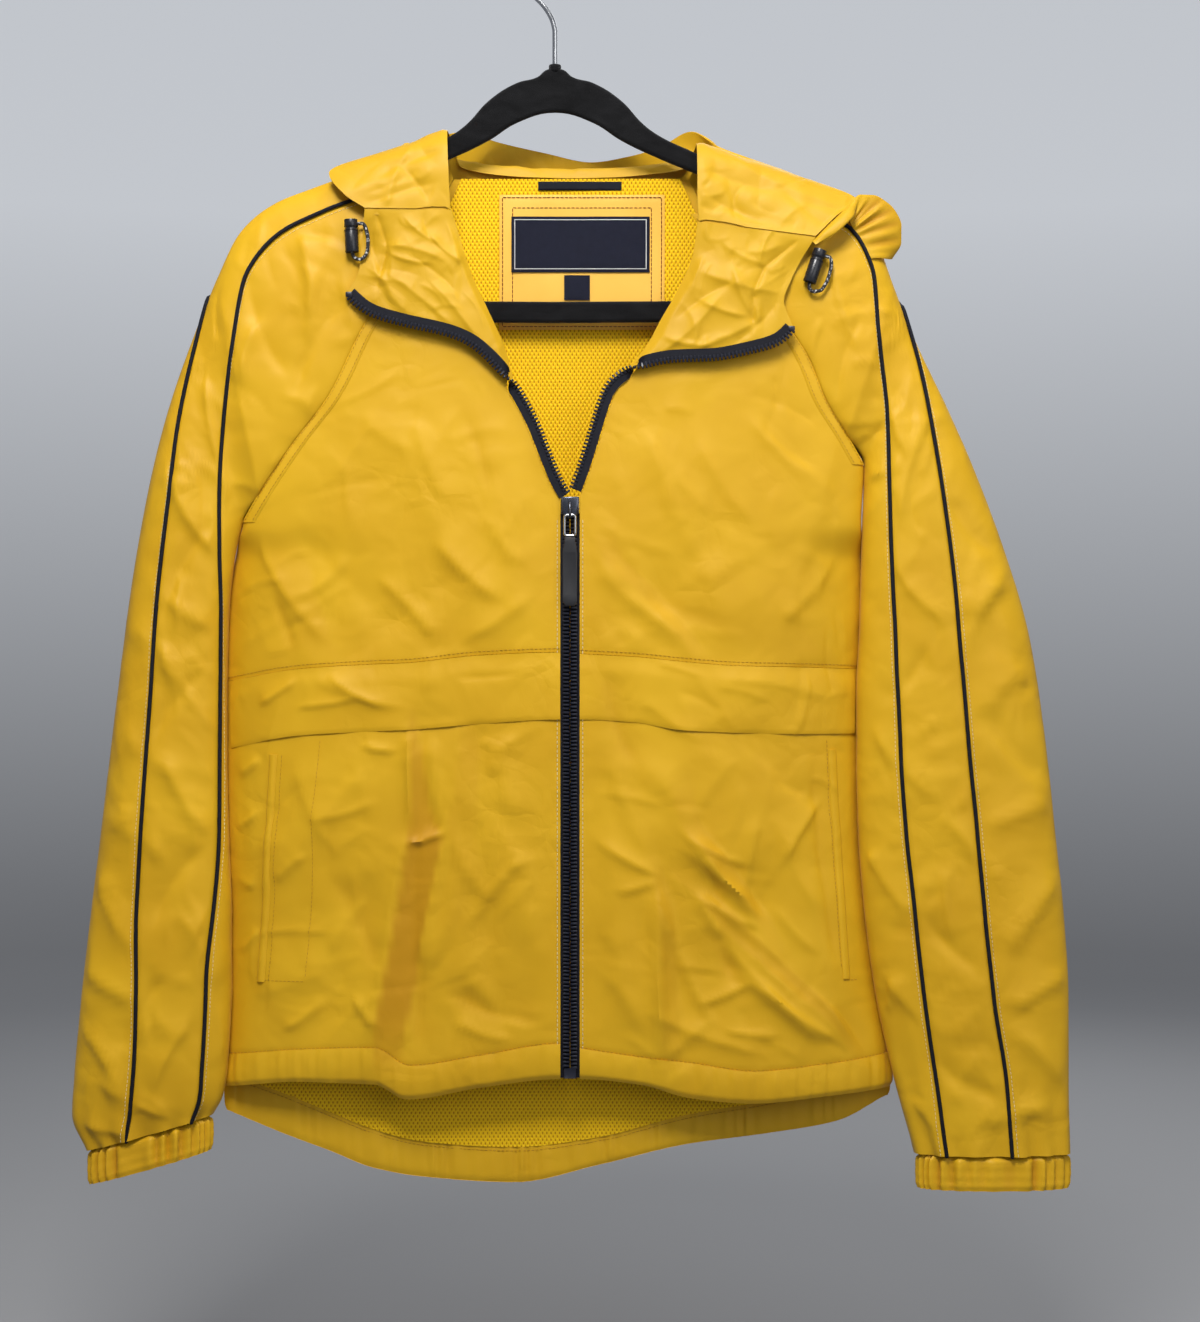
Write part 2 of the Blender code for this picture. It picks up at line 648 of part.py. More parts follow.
def make_lining():
    """The mesh lining inside the back, short of its seams."""
    rows = back_rows(0.035 + 0.93 * eased(15))
    rows[-1] = [(x, z + 1) for x, z in rows[-1]]
    depths = (-WALL - LINING_GAP, -WALL - LINING_GAP - LINING_WALL)
    return wall("back_lining", *body_walls(rows, depths, front=False), finish="lining")


def make_tail_hem():
    """The gathered hem band of the dropped tail."""
    shares = np.linspace(0, 1, 2 * TAIL_GATHERS + 1)
    grids = []
    for out in (0.4, 0.4 - HEM_WALL):
        grid = []
        for down in (0, 0.5, 1):
            line = []
            for index, share in enumerate(shares):
                (x, top_z), (_, edge_z) = tail_place("band", share), tail_place("edge", share)
                z = top_z - SEAM + down * (edge_z - top_z + SEAM)
                wave = 0.8 * math.cos(math.pi * index)
                line.append(body_point(x, z, out + wave, front=False))
            grid.append(line)
        grids.append(grid)
    return wall("back_hem", *grids)


def make_neck_piece(name, finish):
    """A flat piece sewn to the lining inside the back of the neck."""
    x1, x2, top, bottom, inwards = NECK_PIECES[name]
    rows = [
        [(x1 + (x2 - x1) * share, top + (bottom - top) * down) for share in (0, 0.33, 0.67, 1)]
        for down in (0, 0.5, 1)
    ]
    depths = (-inwards, -inwards - 1.0)
    return wall(name, *body_walls(rows, depths, front=False), finish=finish)


# ---------------------------------------------------------------- sleeves, lapels and hood


def turns_between(low, high, count):
    """Turns round a sleeve from low to high, closer together where it bends."""
    angles = []
    for turn in (low, high):
        half = math.acos(1 - 2 * (abs(turn) if turn <= 1 else 2 - turn))
        angles.append(math.copysign(half, turn) if turn <= 1 else 2 * math.pi - half)
    turns = []
    for angle in np.linspace(*angles, count):
        turn = (1 - math.cos(angle)) / 2
        turns.append(math.copysign(turn, angle) if angle <= math.pi else 2 - turn)
    return turns


def make_sleeve(side):
    """A sleeve's three panels: front, strip between the pipings, and back."""
    table = SLEEVE_AT[side]

    panels = {
        "front": (-table["under"], table["front_piping"], 7),
        "strip": (table["front_piping"], table["back_piping"], 6),
        "back": (table["back_piping"], 2 - table["under"], 10),
    }
    lengths = np.hypot(table["ridge_x"] - table["seam_x"], table["ridge_z"] - table["seam_z"])
    gaps = SEAM / lengths
    for panel, (low, high, count) in panels.items():
        turns = [
            turns_between(low[row] + gaps[row], high[row] - gaps[row], count)
            for row in range(SLEEVE_ROWS)
        ]
        grids = [
            [[sleeve_point(side, row, turn, out) for turn in turns[row]] for row in range(SLEEVE_ROWS)]
            for out in (0, -WALL)
        ]
        wall(f"sleeve_{panel}_{side}", *grids)
    for place, first in (("front", 0.12), ("back", 0.5)):
        rows = [first, *range(1, SLEEVE_ROWS)]
        points = [
            sleeve_point(side, row, row_value(table, place + "_piping", row), PIPING_OUT)
            for row in rows
        ]
        tube(f"piping_{place}_{side}", points, PIPING, "piping")


def make_cuff(side):
    """The elastic cuff, a gathered ring below the sleeve."""
    row = SLEEVE_ROWS - 1
    table = SLEEVE_AT[side]
    seam = np.array([table["seam_x"][row], table["seam_z"][row]])
    ridge = np.array([table["ridge_x"][row], table["ridge_z"][row]])
    middle, half = (seam + ridge) / 2, (ridge - seam) / 2
    count = 3 * CUFF_GATHERS

    def ring(down, inset):
        points = []
        for index in range(count):
            angle = 2 * math.pi * index / count
            ripple = 1.1 * math.cos(CUFF_GATHERS * angle)
            grow = 1 - (inset - ripple) / np.linalg.norm(half)
            x, z = middle + half * grow * math.cos(angle)
            y = (table["puff"][row] - inset + ripple) * math.sin(angle)
            points.append((x, y, z - down))
        return points

    heights = (0.6, 3.5, ELASTIC_HEIGHT - 3, ELASTIC_HEIGHT)
    insets = (3.5, 0.5, 0.5, 1.0)
    outer = [ring(h, inset) for h, inset in zip(heights, insets)]
    inner = [ring(h, 4.4) for h in heights]
    return wall("cuff_" + side, outer, inner, around=True)


def make_hood():
    """The hood's three panels, turned down behind the neck, and its two brim casings."""
    shares = np.linspace(0, 1, len(HOOD_RUN) + 3)
    last = len(HOOD) - 1
    every = np.arange(0, last + 1)
    grid = np.array([[hood_point(row, share) for share in shares] for row in every])
    normal = normals(grid)
    first, second = HOOD_CENTRE_ROWS
    for name, low, high in (
        ("hood_right", 0, first), ("hood_centre", first, second), ("hood_left", second, last)
    ):
        part, lean = grid[low : high + 1].copy(), normal[low : high + 1]
        for end, move in ((0, 1), (-1, -1)):
            if (low, high)[end] not in (0, last):
                toward = part[end + move] - part[end]
                toward /= np.linalg.norm(toward, axis=1, keepdims=True)
                part[end] += toward * SEAM
        wall(name, part, part + lean * WALL)
    return grid, normal


def make_brim(name, grid, normal, low, high):
    """The casing turned in along the hood's brim, on the hood's inner side."""
    start = int(round(BRIM_FROM * (grid.shape[1] - 1)))
    part, lean = grid[low : high + 1, start:].copy(), normal[low : high + 1, start:]
    if low:
        part[0] += (part[1] - part[0]) * 0.02
    outer, inner = (part - lean * out for out in BRIM_OUT)
    return wall(name, outer, inner, "facing")


def make_roll():
    """The rolled left end of the brim: its casing turns over the shoulder, gathered by the cord."""
    table = columns(ROLL, ROLL_COLUMNS)
    rows = np.linspace(0, len(ROLL) - 1, 4 * (len(ROLL) - 1) + 1)
    edges = [
        np.array([[row_value(table, axis + end, row) for axis in "xyz"] for row in rows])
        for end in "12"
    ]
    shares = np.linspace(0, 1, 5)
    grid = np.array([[first + share * (last - first) for share in shares] for first, last in zip(*edges)])
    lean = normals(grid)
    for index in range(len(rows)):
        gathered = max(0.0, index / (len(rows) - 1) - ROLL_RUCHES_FROM)
        ruche = 1.4 * gathered * math.cos(math.pi * index)
        for column, share in enumerate(shares):
            grid[index, column] -= lean[index, column] * (
                ROLL_BULGE * math.sin(math.pi * share) + ruche * share
            )
    return wall("hood_roll_left", grid, grid + lean * WALL)


def make_lapel(side):
    """The lapel: the front's facing, turned out over the front above the slider."""
    ups = np.linspace(0.03, 1, 8)
    acrosses = eased(9, 0.4)
    grid = [[lapel_point(side, 0.015 + 0.985 * a, up) for a in acrosses] for up in ups]
    grid = np.array(grid)
    back = grid + np.array([0, WALL, 0])
    return wall("lapel_" + side, grid, back, "facing")


# ---------------------------------------------------------------- zip and cords


def zip_line(side):
    """The teeth's line of one open half, from the slider to its top end."""
    path = OPENING[side]
    turn = FOLD_POINT[side]
    points = []
    for index, (x, z) in enumerate(path):
        if index < turn:
            y = body_point(x, z)[1]
        else:
            share = (index - turn) / (len(path) - 1 - turn)
            y = lapel_point(side, share, 0)[1]
        points.append((x + SIGN[side] * 1.2 * (index == 0), y - 1.2, z))
    return points


def frame(name, corners, inset, low, high, finish):
    """A rectangular loop: its outer corners in two axes, its bar's width, and its other extent."""
    (x1, z1), (x2, z2) = corners
    grids = []
    for edge in (0, inset):
        ring = [
            (x1 + edge, z1 - edge), (x2 - edge, z1 - edge),
            (x2 - edge, z2 + edge), (x1 + edge, z2 + edge),
        ]
        grids.append([[(x, y, z) for x, z in ring] for y in (low, high)])
    return wall(name, *grids, finish=finish, around=True)


def make_zip():
    """Tapes, teeth, bottom box and slider."""
    top, bottom = SLIDER_Z - 4, ZIP_END_Z
    levels = [(z, body_point(CENTRE_X, z)[1]) for z in np.linspace(top, bottom, 9)]
    for side, sign in SIGN.items():
        edges = [CENTRE_X + sign * (SEAM / 2 + TAPE_WIDTH * share) for share in (0, 1)]
        grids = [[[(x, y + back, z) for x in edges] for z, y in levels] for back in (0.4, 1.4)]
        wall("zip_tape_" + side, *grids, finish="piping")
        tube("zip_teeth_" + side, zip_line(side), 1.7, "teeth")
    box_z = bottom + 7
    levels = [(z, body_point(CENTRE_X, z)[1]) for z in np.linspace(top, box_z, 9)]
    edges = [CENTRE_X + sign * TEETH_WIDTH / 2 for sign in (-1, 1)]
    grids = [[[(x, y + back, z) for x in edges] for z, y in levels] for back in (-2.6, 0)]
    wall("zip_chain", *grids, finish="teeth")
    y = levels[-1][1]
    half = 4.0
    block(
        "zip_box", (CENTRE_X - half, y - 2.9, bottom), (CENTRE_X + half, y - 0.1, box_z - 0.3),
        "teeth", 0.4,
    )


def make_slider():
    """The slider, its lug, and the link and tab that swing from the lug."""
    y = body_point(CENTRE_X, SLIDER_Z)[1] - 2.9
    slider = block(
        "zip_slider", (CENTRE_X - 6.5, y - 2.3, SLIDER_Z - 7), (CENTRE_X + 6.5, y, SLIDER_Z + 7),
        "metal", 0.8,
    )
    bar_y, bar_z = y - 3.9, SLIDER_Z - 5.4
    reach, thick = 1.3, 1.1
    lug = frame(
        "lug", ((bar_y - reach - thick, bar_z + reach + thick), (y - 1, bar_z - reach - thick)),
        thick, CENTRE_X - 1.3, CENTRE_X + 1.3, "metal",
    )
    for vertex in lug.data.vertices:
        vertex.co = (vertex.co.y, vertex.co.x, vertex.co.z)
    lug.data.flip_normals()
    lug.hide_render = True
    lug.display_type = "WIRE"
    collection.objects.unlink(lug)
    cutters.objects.link(lug)
    union = slider.modifiers.new("lug", "BOOLEAN")
    union.operation = "UNION"
    union.object = lug
    wire = 0.8
    link = ((CENTRE_X - 4.4, bar_z + wire), (CENTRE_X + 4.4, bar_z - 14.5))
    frame("zip_link", link, 2 * wire, bar_y - wire, bar_y + wire, "metal")
    tab_top = bar_z - 14.5 - 0.3
    block(
        "zip_tab", (CENTRE_X - 4.8, bar_y - 0.7, tab_top - TAB_LENGTH),
        (CENTRE_X + 4.8, bar_y + 1.1, tab_top), "piping", 0.5,
    )


def surface_y(side, x, z):
    """The depth of the sleeve's upper front at a place, from its nearest point."""
    best = min(
        (math.hypot(p[0] - x, p[2] - z), p[1])
        for row in np.linspace(0, UNDERARM_ROW, 25)
        for p in (sleeve_point(side, row, turn) for turn in np.linspace(0, 1, 41))
    )
    return best[1]


def make_cord_lock(side):
    """The hood cord's spring lock and the loop of cord that hangs from it."""
    (top_x, top_z), (low_x, low_z) = LOCK[side]
    radius = LOCK_WIDTH / 2
    y = min(surface_y(side, x, z) for x, z in LOCK[side]) - radius - LAID
    start, end = np.array([top_x, y, top_z]), np.array([low_x, y, low_z])
    tube("cord_lock_" + side, [start, end], radius, "teeth")
    aim = (end - start) / np.linalg.norm(end - start)
    aside = np.array([-aim[2], 0, aim[0]]) * CORD_AIM[side]
    length = np.linalg.norm(end - start)
    points = [
        end + aim * along_it + aside * across for along_it, across in (
            (0.3, 0), (3.2, 1.0), (5.0, 4.5), (3.0, 8.4), (-2.5, 10.6),
            (-8.5, 11.0), (-length + 6, 9.8), (-length + 3, 7.6), (-length + 3, radius + 0.3),
        )
    ]
    tube("cord_loop_" + side, points, CORD, "piping")


# ---------------------------------------------------------------- hanger


def make_hanger():
    """The flocked hanger body, flat, with its trouser bar, and the steel hook."""
    curve = bpy.data.curves.new("hanger_body", "CURVE")
    curve.dimensions = "2D"
    curve.fill_mode = "BOTH"
    curve.extrude = HANGER_THICK / 2 * MM
    outer = list(HANGER_OUTER) + [(-x, z) for x, z in HANGER_OUTER[::-1]]
    inner = list(HANGER_INNER) + [(-x, z) for x, z in HANGER_INNER[:0:-1]]
    for outline in (outer, inner):
        spline = curve.splines.new("POLY")
        spline.points.add(len(outline) - 1)
        for point, (x, z) in zip(spline.points, outline):
            point.co = (x * MM, z * MM, 0, 1)
        spline.use_cyclic_u = True
    body = add("hanger_body", curve, "velvet")
    body.rotation_euler = (math.radians(90), 0, 0)

    middle_z = HOOK_WIRE / 2 - HOOK_RADIUS
    stem = [(0, 0, -90.5), (0, 0, -75), (0, 0, -62), (-2.5, 0, -55.5), (-7, 0, -48.5)]
    angles = np.radians(np.linspace(238, HOOK_TIP_DEGREES, 20))
    bend = [
        (HOOK_RADIUS * math.cos(a), 0, middle_z + HOOK_RADIUS * math.sin(a)) for a in angles
    ]
    tube("hanger_hook", stem + bend, HOOK_WIRE / 2, "metal", resolution=2)


def main():
    """Clears the scene and makes every piece."""
    for thing in list(bpy.data.objects):
        bpy.data.objects.remove(thing)
    for group in (collection, cutters):
        bpy.context.scene.collection.children.link(group)
    for side in SIGN:
        make_upper_front(side)
        make_front_band("front_lower_" + side, side, ("yoke", "stitch"), (0, -WALL), 8)
        make_front_band(
            "storm_flap_" + side, side, ("yoke", "flap"), (LAID + LAID_WALL, LAID), 3, reach=FLAP_REACH
        )
        make_front_band(
            "front_hem_" + side, side, ("stitch", "edge"), (0.4, 0.4 - HEM_WALL), 3, ripple=0.5
        )
        make_welt(side)
        make_sleeve(side)
        make_cuff(side)
        make_lapel(side)
        make_cord_lock(side)
    make_back()
    make_lining()
    make_tail_hem()
    make_neck_piece("neck_patch", "facing")
    for name in ("neck_label", "size_tab", "hang_loop"):
        make_neck_piece(name, "piping")
    grid, normal = make_hood()
    middle = (len(HOOD) - 1) // 2
    make_brim("hood_brim_right", grid, normal, 0, middle)
    make_brim("hood_brim_left", grid, normal, middle, len(HOOD) - 1)
    make_roll()
    make_zip()
    make_slider()
    make_hanger()


main()
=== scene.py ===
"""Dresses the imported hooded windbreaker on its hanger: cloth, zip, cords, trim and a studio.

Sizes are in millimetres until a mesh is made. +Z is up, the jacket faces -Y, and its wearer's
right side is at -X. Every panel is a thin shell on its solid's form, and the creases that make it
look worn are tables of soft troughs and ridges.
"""

import logging
import math
from collections.abc import Callable, Iterable, Sequence
from dataclasses import dataclass
from enum import Enum

import bmesh
import bpy
import numpy as np
from mathutils import Matrix, Vector


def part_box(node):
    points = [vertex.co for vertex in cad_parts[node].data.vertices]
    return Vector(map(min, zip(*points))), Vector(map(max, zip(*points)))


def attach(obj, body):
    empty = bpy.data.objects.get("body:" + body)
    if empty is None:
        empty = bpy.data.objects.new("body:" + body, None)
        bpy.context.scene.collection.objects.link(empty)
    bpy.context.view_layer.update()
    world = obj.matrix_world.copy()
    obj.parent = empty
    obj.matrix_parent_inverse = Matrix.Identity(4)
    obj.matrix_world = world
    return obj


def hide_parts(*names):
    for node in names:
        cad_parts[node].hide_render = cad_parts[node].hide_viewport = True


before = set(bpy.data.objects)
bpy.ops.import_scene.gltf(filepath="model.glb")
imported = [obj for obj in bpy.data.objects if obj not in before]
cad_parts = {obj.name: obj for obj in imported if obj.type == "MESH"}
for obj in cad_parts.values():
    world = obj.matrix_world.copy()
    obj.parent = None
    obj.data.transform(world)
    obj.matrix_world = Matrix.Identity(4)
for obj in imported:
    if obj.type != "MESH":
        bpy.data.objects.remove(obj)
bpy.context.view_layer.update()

LOG = logging.getLogger("windbreaker")
MM = 0.001
GARMENT = "garment"
PULL_TAB = "pull_tab"
SEAM = 0.5
CENTRE_X = 10.5
TAPE_WIDTH = 6.0
SLIDER_Z = -390.0
ZIP_END_Z = -773.0
CLOTH = 0.6  # how thick the cloth's shell is

Array = np.ndarray
Rows = Sequence[Sequence[float]]


class Side(Enum):
    """The wearer's sides."""

    RIGHT = "right"
    LEFT = "left"

    @property
    def sign(self) -> int:
        """The way this side lies along X."""
        return -1 if self is Side.RIGHT else 1


# ---------------------------------------------------------------- the cut's tables

BODY_COLUMNS = ("z", "right_x", "left_x", "front", "back")
BODY = (
    (-130, -212, 210, 9, 9),
    (-160, -212, 210, 12, 12.5),
    (-190, -212, 210, 15, 14),
    (-260, -212, 210, 19, 15),
    (-361, -212, 210, 22, 16.5),
    (-400, -212, 208.2, 23, 17),
    (-410, -215.4, 209, 23.2, 17),
    (-425, -219.4, 209.6, 23.4, 17),
    (-445, -222.7, 210.1, 23.7, 17),
    (-470, -224.5, 209.5, 24, 17),
    (-520, -225.5, 207.5, 24, 17),
    (-610, -224.5, 208.5, 23, 17),
    (-660, -222.5, 212.5, 22, 16.5),
    (-710, -222.5, 219, 21, 16),
    (-760, -224.5, 228, 20, 15),
    (-800, -230, 231, 18, 14),
    (-860, -231, 231, 17, 13),
)
SLEEVE_COLUMNS = (
    "seam_x", "seam_z", "ridge_x", "ridge_z", "back_x", "back_z",
    "puff", "under", "front_piping", "back_piping",
)
SLEEVE = {
    Side.RIGHT: (
        (-78, -190, -76, -136, -70, -163, 0, 0, 0.70, 1.35),
        (-103, -229, -118, -155, -92, -205, 2, 0, 0.74, 1.30),
        (-129, -268, -160, -170, -115, -248, 3, 0, 0.80, 1.25),
        (-152, -314, -192, -183, -142, -293, 4, 0, 0.83, 1.20),
        (-177, -347, -214, -202, -168, -333, 6, 0, 0.80, 1.12),
        (-199, -379, -229, -232, -193, -371, 9, 0, 0.62, 1.04),
        (-212, -400, -243, -266, -212, -400, 14, 0, 0.40, 0.95),
        (-219, -432, -260, -314, -219, -432, 18, 0.1, 0.17, 0.84),
        (-222, -468, -272, -358, -222, -468, 20, 0.2, 0.07, 0.75),
        (-223, -512, -286, -432, -223, -512, 21, 0.3, 0.05, 0.70),
        (-223, -560, -297, -515, -223, -560, 22, 0.3, 0.05, 0.66),
        (-222, -610, -306, -590, -222, -610, 22, 0.3, 0.06, 0.65),
        (-220, -660, -314, -655, -220, -660, 21, 0.3, 0.11, 0.64),
        (-220, -710, -321, -714, -220, -710, 21, 0.3, 0.15, 0.60),
        (-222, -760, -326, -768, -222, -760, 20, 0.3, 0.15, 0.58),
        (-226, -788, -328, -800, -226, -788, 18, 0.3, 0.14, 0.58),
        (-233, -801, -318, -825, -233, -801, 15, 0.3, 0.15, 0.65),
    ),
    Side.LEFT: (
        (99, -190, 98, -145.5, 92, -163, 0, 0, 0.72, 1.35),
        (128, -228, 135, -161, 112, -203, 2, 0, 0.76, 1.32),
        (155, -264, 172, -174, 138, -243, 3, 0, 0.82, 1.28),
        (172, -290, 203, -188, 160, -279, 4, 0, 0.87, 1.24),
        (183, -317, 219, -209, 177, -312, 6, 0, 0.84, 1.16),
        (197, -340, 230, -238, 193, -337, 9, 0, 0.64, 1.04),
        (210, -361, 246, -278, 210, -361, 14, 0, 0.40, 0.94),
        (209, -395, 266, -320, 209, -395, 18, 0.1, 0.29, 0.79),
        (208, -432, 286, -366, 208, -432, 20, 0.1, 0.24, 0.69),
        (207, -470, 306, -420, 207, -470, 21, 0.1, 0.22, 0.62),
        (205, -515, 322, -475, 205, -515, 22, 0.1, 0.22, 0.58),
        (205, -560, 333, -545, 205, -560, 22, 0.1, 0.22, 0.57),
        (206, -608, 340, -610, 206, -608, 21, 0.1, 0.23, 0.58),
        (210, -660, 346, -668, 210, -660, 21, 0.1, 0.24, 0.58),
        (217, -714, 349, -722, 217, -714, 20, 0.1, 0.24, 0.59),
        (230, -774, 349, -778, 230, -774, 18, 0.1, 0.23, 0.62),
        (245, -827, 350, -827, 245, -827, 16, 0.1, 0.19, 0.60),
    ),
}
UNDERARM_ROW = 6
LAST_ROW = 16
OPENING = {
    Side.RIGHT: (
        (9.5, -383), (4, -375), (-4, -356), (-14, -331), (-26, -309), (-41, -292),
        (-56, -279), (-70, -273), (-100, -266), (-125, -258), (-139, -246),
    ),
    Side.LEFT: (
        (12, -380), (18, -364), (24, -345), (30, -325), (37, -307), (48, -298),
        (63, -293), (80, -290), (107, -289), (128, -285), (151, -278), (160, -269),
    ),
}
FOLD_POINT = {Side.RIGHT: 4, Side.LEFT: 5}
LAPEL_FOLD = {
    Side.RIGHT: ((-26, -309), (-33, -283), (-44, -258), (-55, -234), (-62, -213), (-69, -190)),
    Side.LEFT: ((48, -298), (63, -279), (71, -264), (84, -241), (93, -219), (96, -198)),
}
LAPEL_EDGE = {
    Side.RIGHT: ((-139, -246), (-131, -230), (-129, -209), (-127, -190)),
    Side.LEFT: ((160, -269), (154, -251), (158, -239), (166, -223), (175, -209)),
}
HOOD_COLUMNS = ("neck_x", "neck_y", "neck_z", "brim_x", "brim_y", "brim_z", "drop")
HOOD = (
    (-70, -21, -189.5, -127, -25, -189.5, 0),
    (-71, -21, -168, -141, -24, -180, 0),
    (-72, -17.5, -147, -152, -14, -164, 0),
    (-73, -1, -133, -122, 1, -148.5, 0),
    (-70, 13, -139, -96, 19, -137.5, 8),
    (-66, 17, -153, -62, 25, -127.5, 115),
    (-42, 17, -159, -42, 31, -133, 165),
    (-14, 17, -161, -8, 36, -140, 192),
    (12, 17, -161.5, 24, 38, -146, 200),
    (38, 17, -161, 50, 36, -142.5, 195),
    (64, 17, -159, 72, 31, -137, 170),
    (88, 17, -155, 93, 25, -127.5, 120),
    (94, 13, -147, 114, 19, -140, 8),
    (96, -1, -142, 162, 1, -162, 0),
    (96, -17.5, -156, 204, -10, -181.5, 0),
    (96, -21, -178, 190, -21, -193.5, 0),
    (97, -21.5, -197.5, 175, -25.5, -208.5, 0),
)
HOOD_CENTRE_ROWS = (6, 10)
ROLL_COLUMNS = ("x1", "y1", "z1", "x2", "y2", "z2")
ROLL = (
    (172.8, -27, -212.3, 174.8, -28.5, -214.6),
    (181.5, -24.3, -202.8, 187.4, -28, -207.2),
    (189.8, -21.6, -194.5, 195.5, -27, -200),
    (197.4, -16.1, -186.8, 201.5, -21, -193.5),
    (206.5, -11.2, -177.8, 199, -14.5, -195.5),
    (215.4, -8.5, -177.6, 200, -13, -198),
    (224, -7, -181.5, 201.5, -12.7, -201),
    (230.8, -6, -188, 203.5, -12.7, -204.5),
    (235, -5, -198, 206.5, -12.8, -209),
    (235, -4, -209, 210, -13.2, -215),
    (229, -3, -220, 213.5, -13.8, -221.5),
)
HOOD_RUN_COLUMNS = ("across", "down", "lift", "push", "spread")
HOOD_RUN = (
    (0.00, 0.00, 0.0, 0.0, 0.00),
    (0.08, -0.02, 1.5, 1.5, 0.04),
    (0.20, 0.12, 1.5, 3.0, 0.16),
    (0.30, 0.45, 1.0, 4.0, 0.34),
    (0.42, 0.85, 0.0, 5.0, 0.48),
    (0.55, 1.00, 0.0, 8.0, 0.52),
    (0.70, 0.85, 0.0, 14.0, 0.54),
    (0.82, 0.45, 0.0, 12.0, 0.42),
    (0.92, 0.12, 0.0, 5.0, 0.18),
    (1.00, 0.00, 0.0, 0.0, 0.00),
)
FRONT_LINES_COLUMNS = ("x", "yoke", "flap", "stitch", "edge")
FRONT_LINES = (
    (-222, -507, -553, -761, -783),
    (-169, -498, -543, -755, -777),
    (-120, -495, -540, -753, -778),
    (-97, -494, -539, -765, -788),
    (-50, -489, -535, -758, -780),
    (3, -487, -532, -750, -774),
    (18, -488, -532, -753, -774),
    (55, -490, -534, -759, -778),
    (85, -493, -539, -763, -787),
    (125, -496, -541, -769, -791),
    (170, -497, -542, -765, -787),
    (228, -499, -542, -758, -782),
)
TAIL_COLUMNS = ("x", "band", "edge")
TAIL = (
    (-231, -776, -800),
    (-186, -790, -817),
    (-155, -802, -828),
    (-124, -814, -840),
    (-91, -822, -846),
    (-27, -826, -850),
    (31, -819, -838),
    (90, -804, -824),
    (148, -794, -816),
    (194, -784, -808),
    (229, -770, -791),
)
NECK_PIECES = {
    "neck_patch": (-39, 76, -174, -266, 3.5),
    "neck_label": (-31, 66, -189, -227, 5.2),
    "size_tab": (6, 24, -229, -246, 5.2),
    "hang_loop": (-12, 46, -165, -171, 3.5),
}
LOCK = {Side.RIGHT: ((-136.5, -197), (-135.5, -219)), Side.LEFT: ((178.5, -217), (171, -239))}
HANGER_OUTER = (
    (5.5, -91), (12, -96), (26, -100), (45, -112), (60, -128), (71, -136), (94, -147),
    (150, -173), (192, -193), (203, -200), (208, -212), (204, -234), (192, -250), (176, -257.5),
)
HANGER_INNER = (
    (0, -120), (26, -127), (45, -139), (70, -151), (94, -161), (150, -187), (186, -205),
    (193, -213), (190, -230), (182, -240), (170, -245),
)
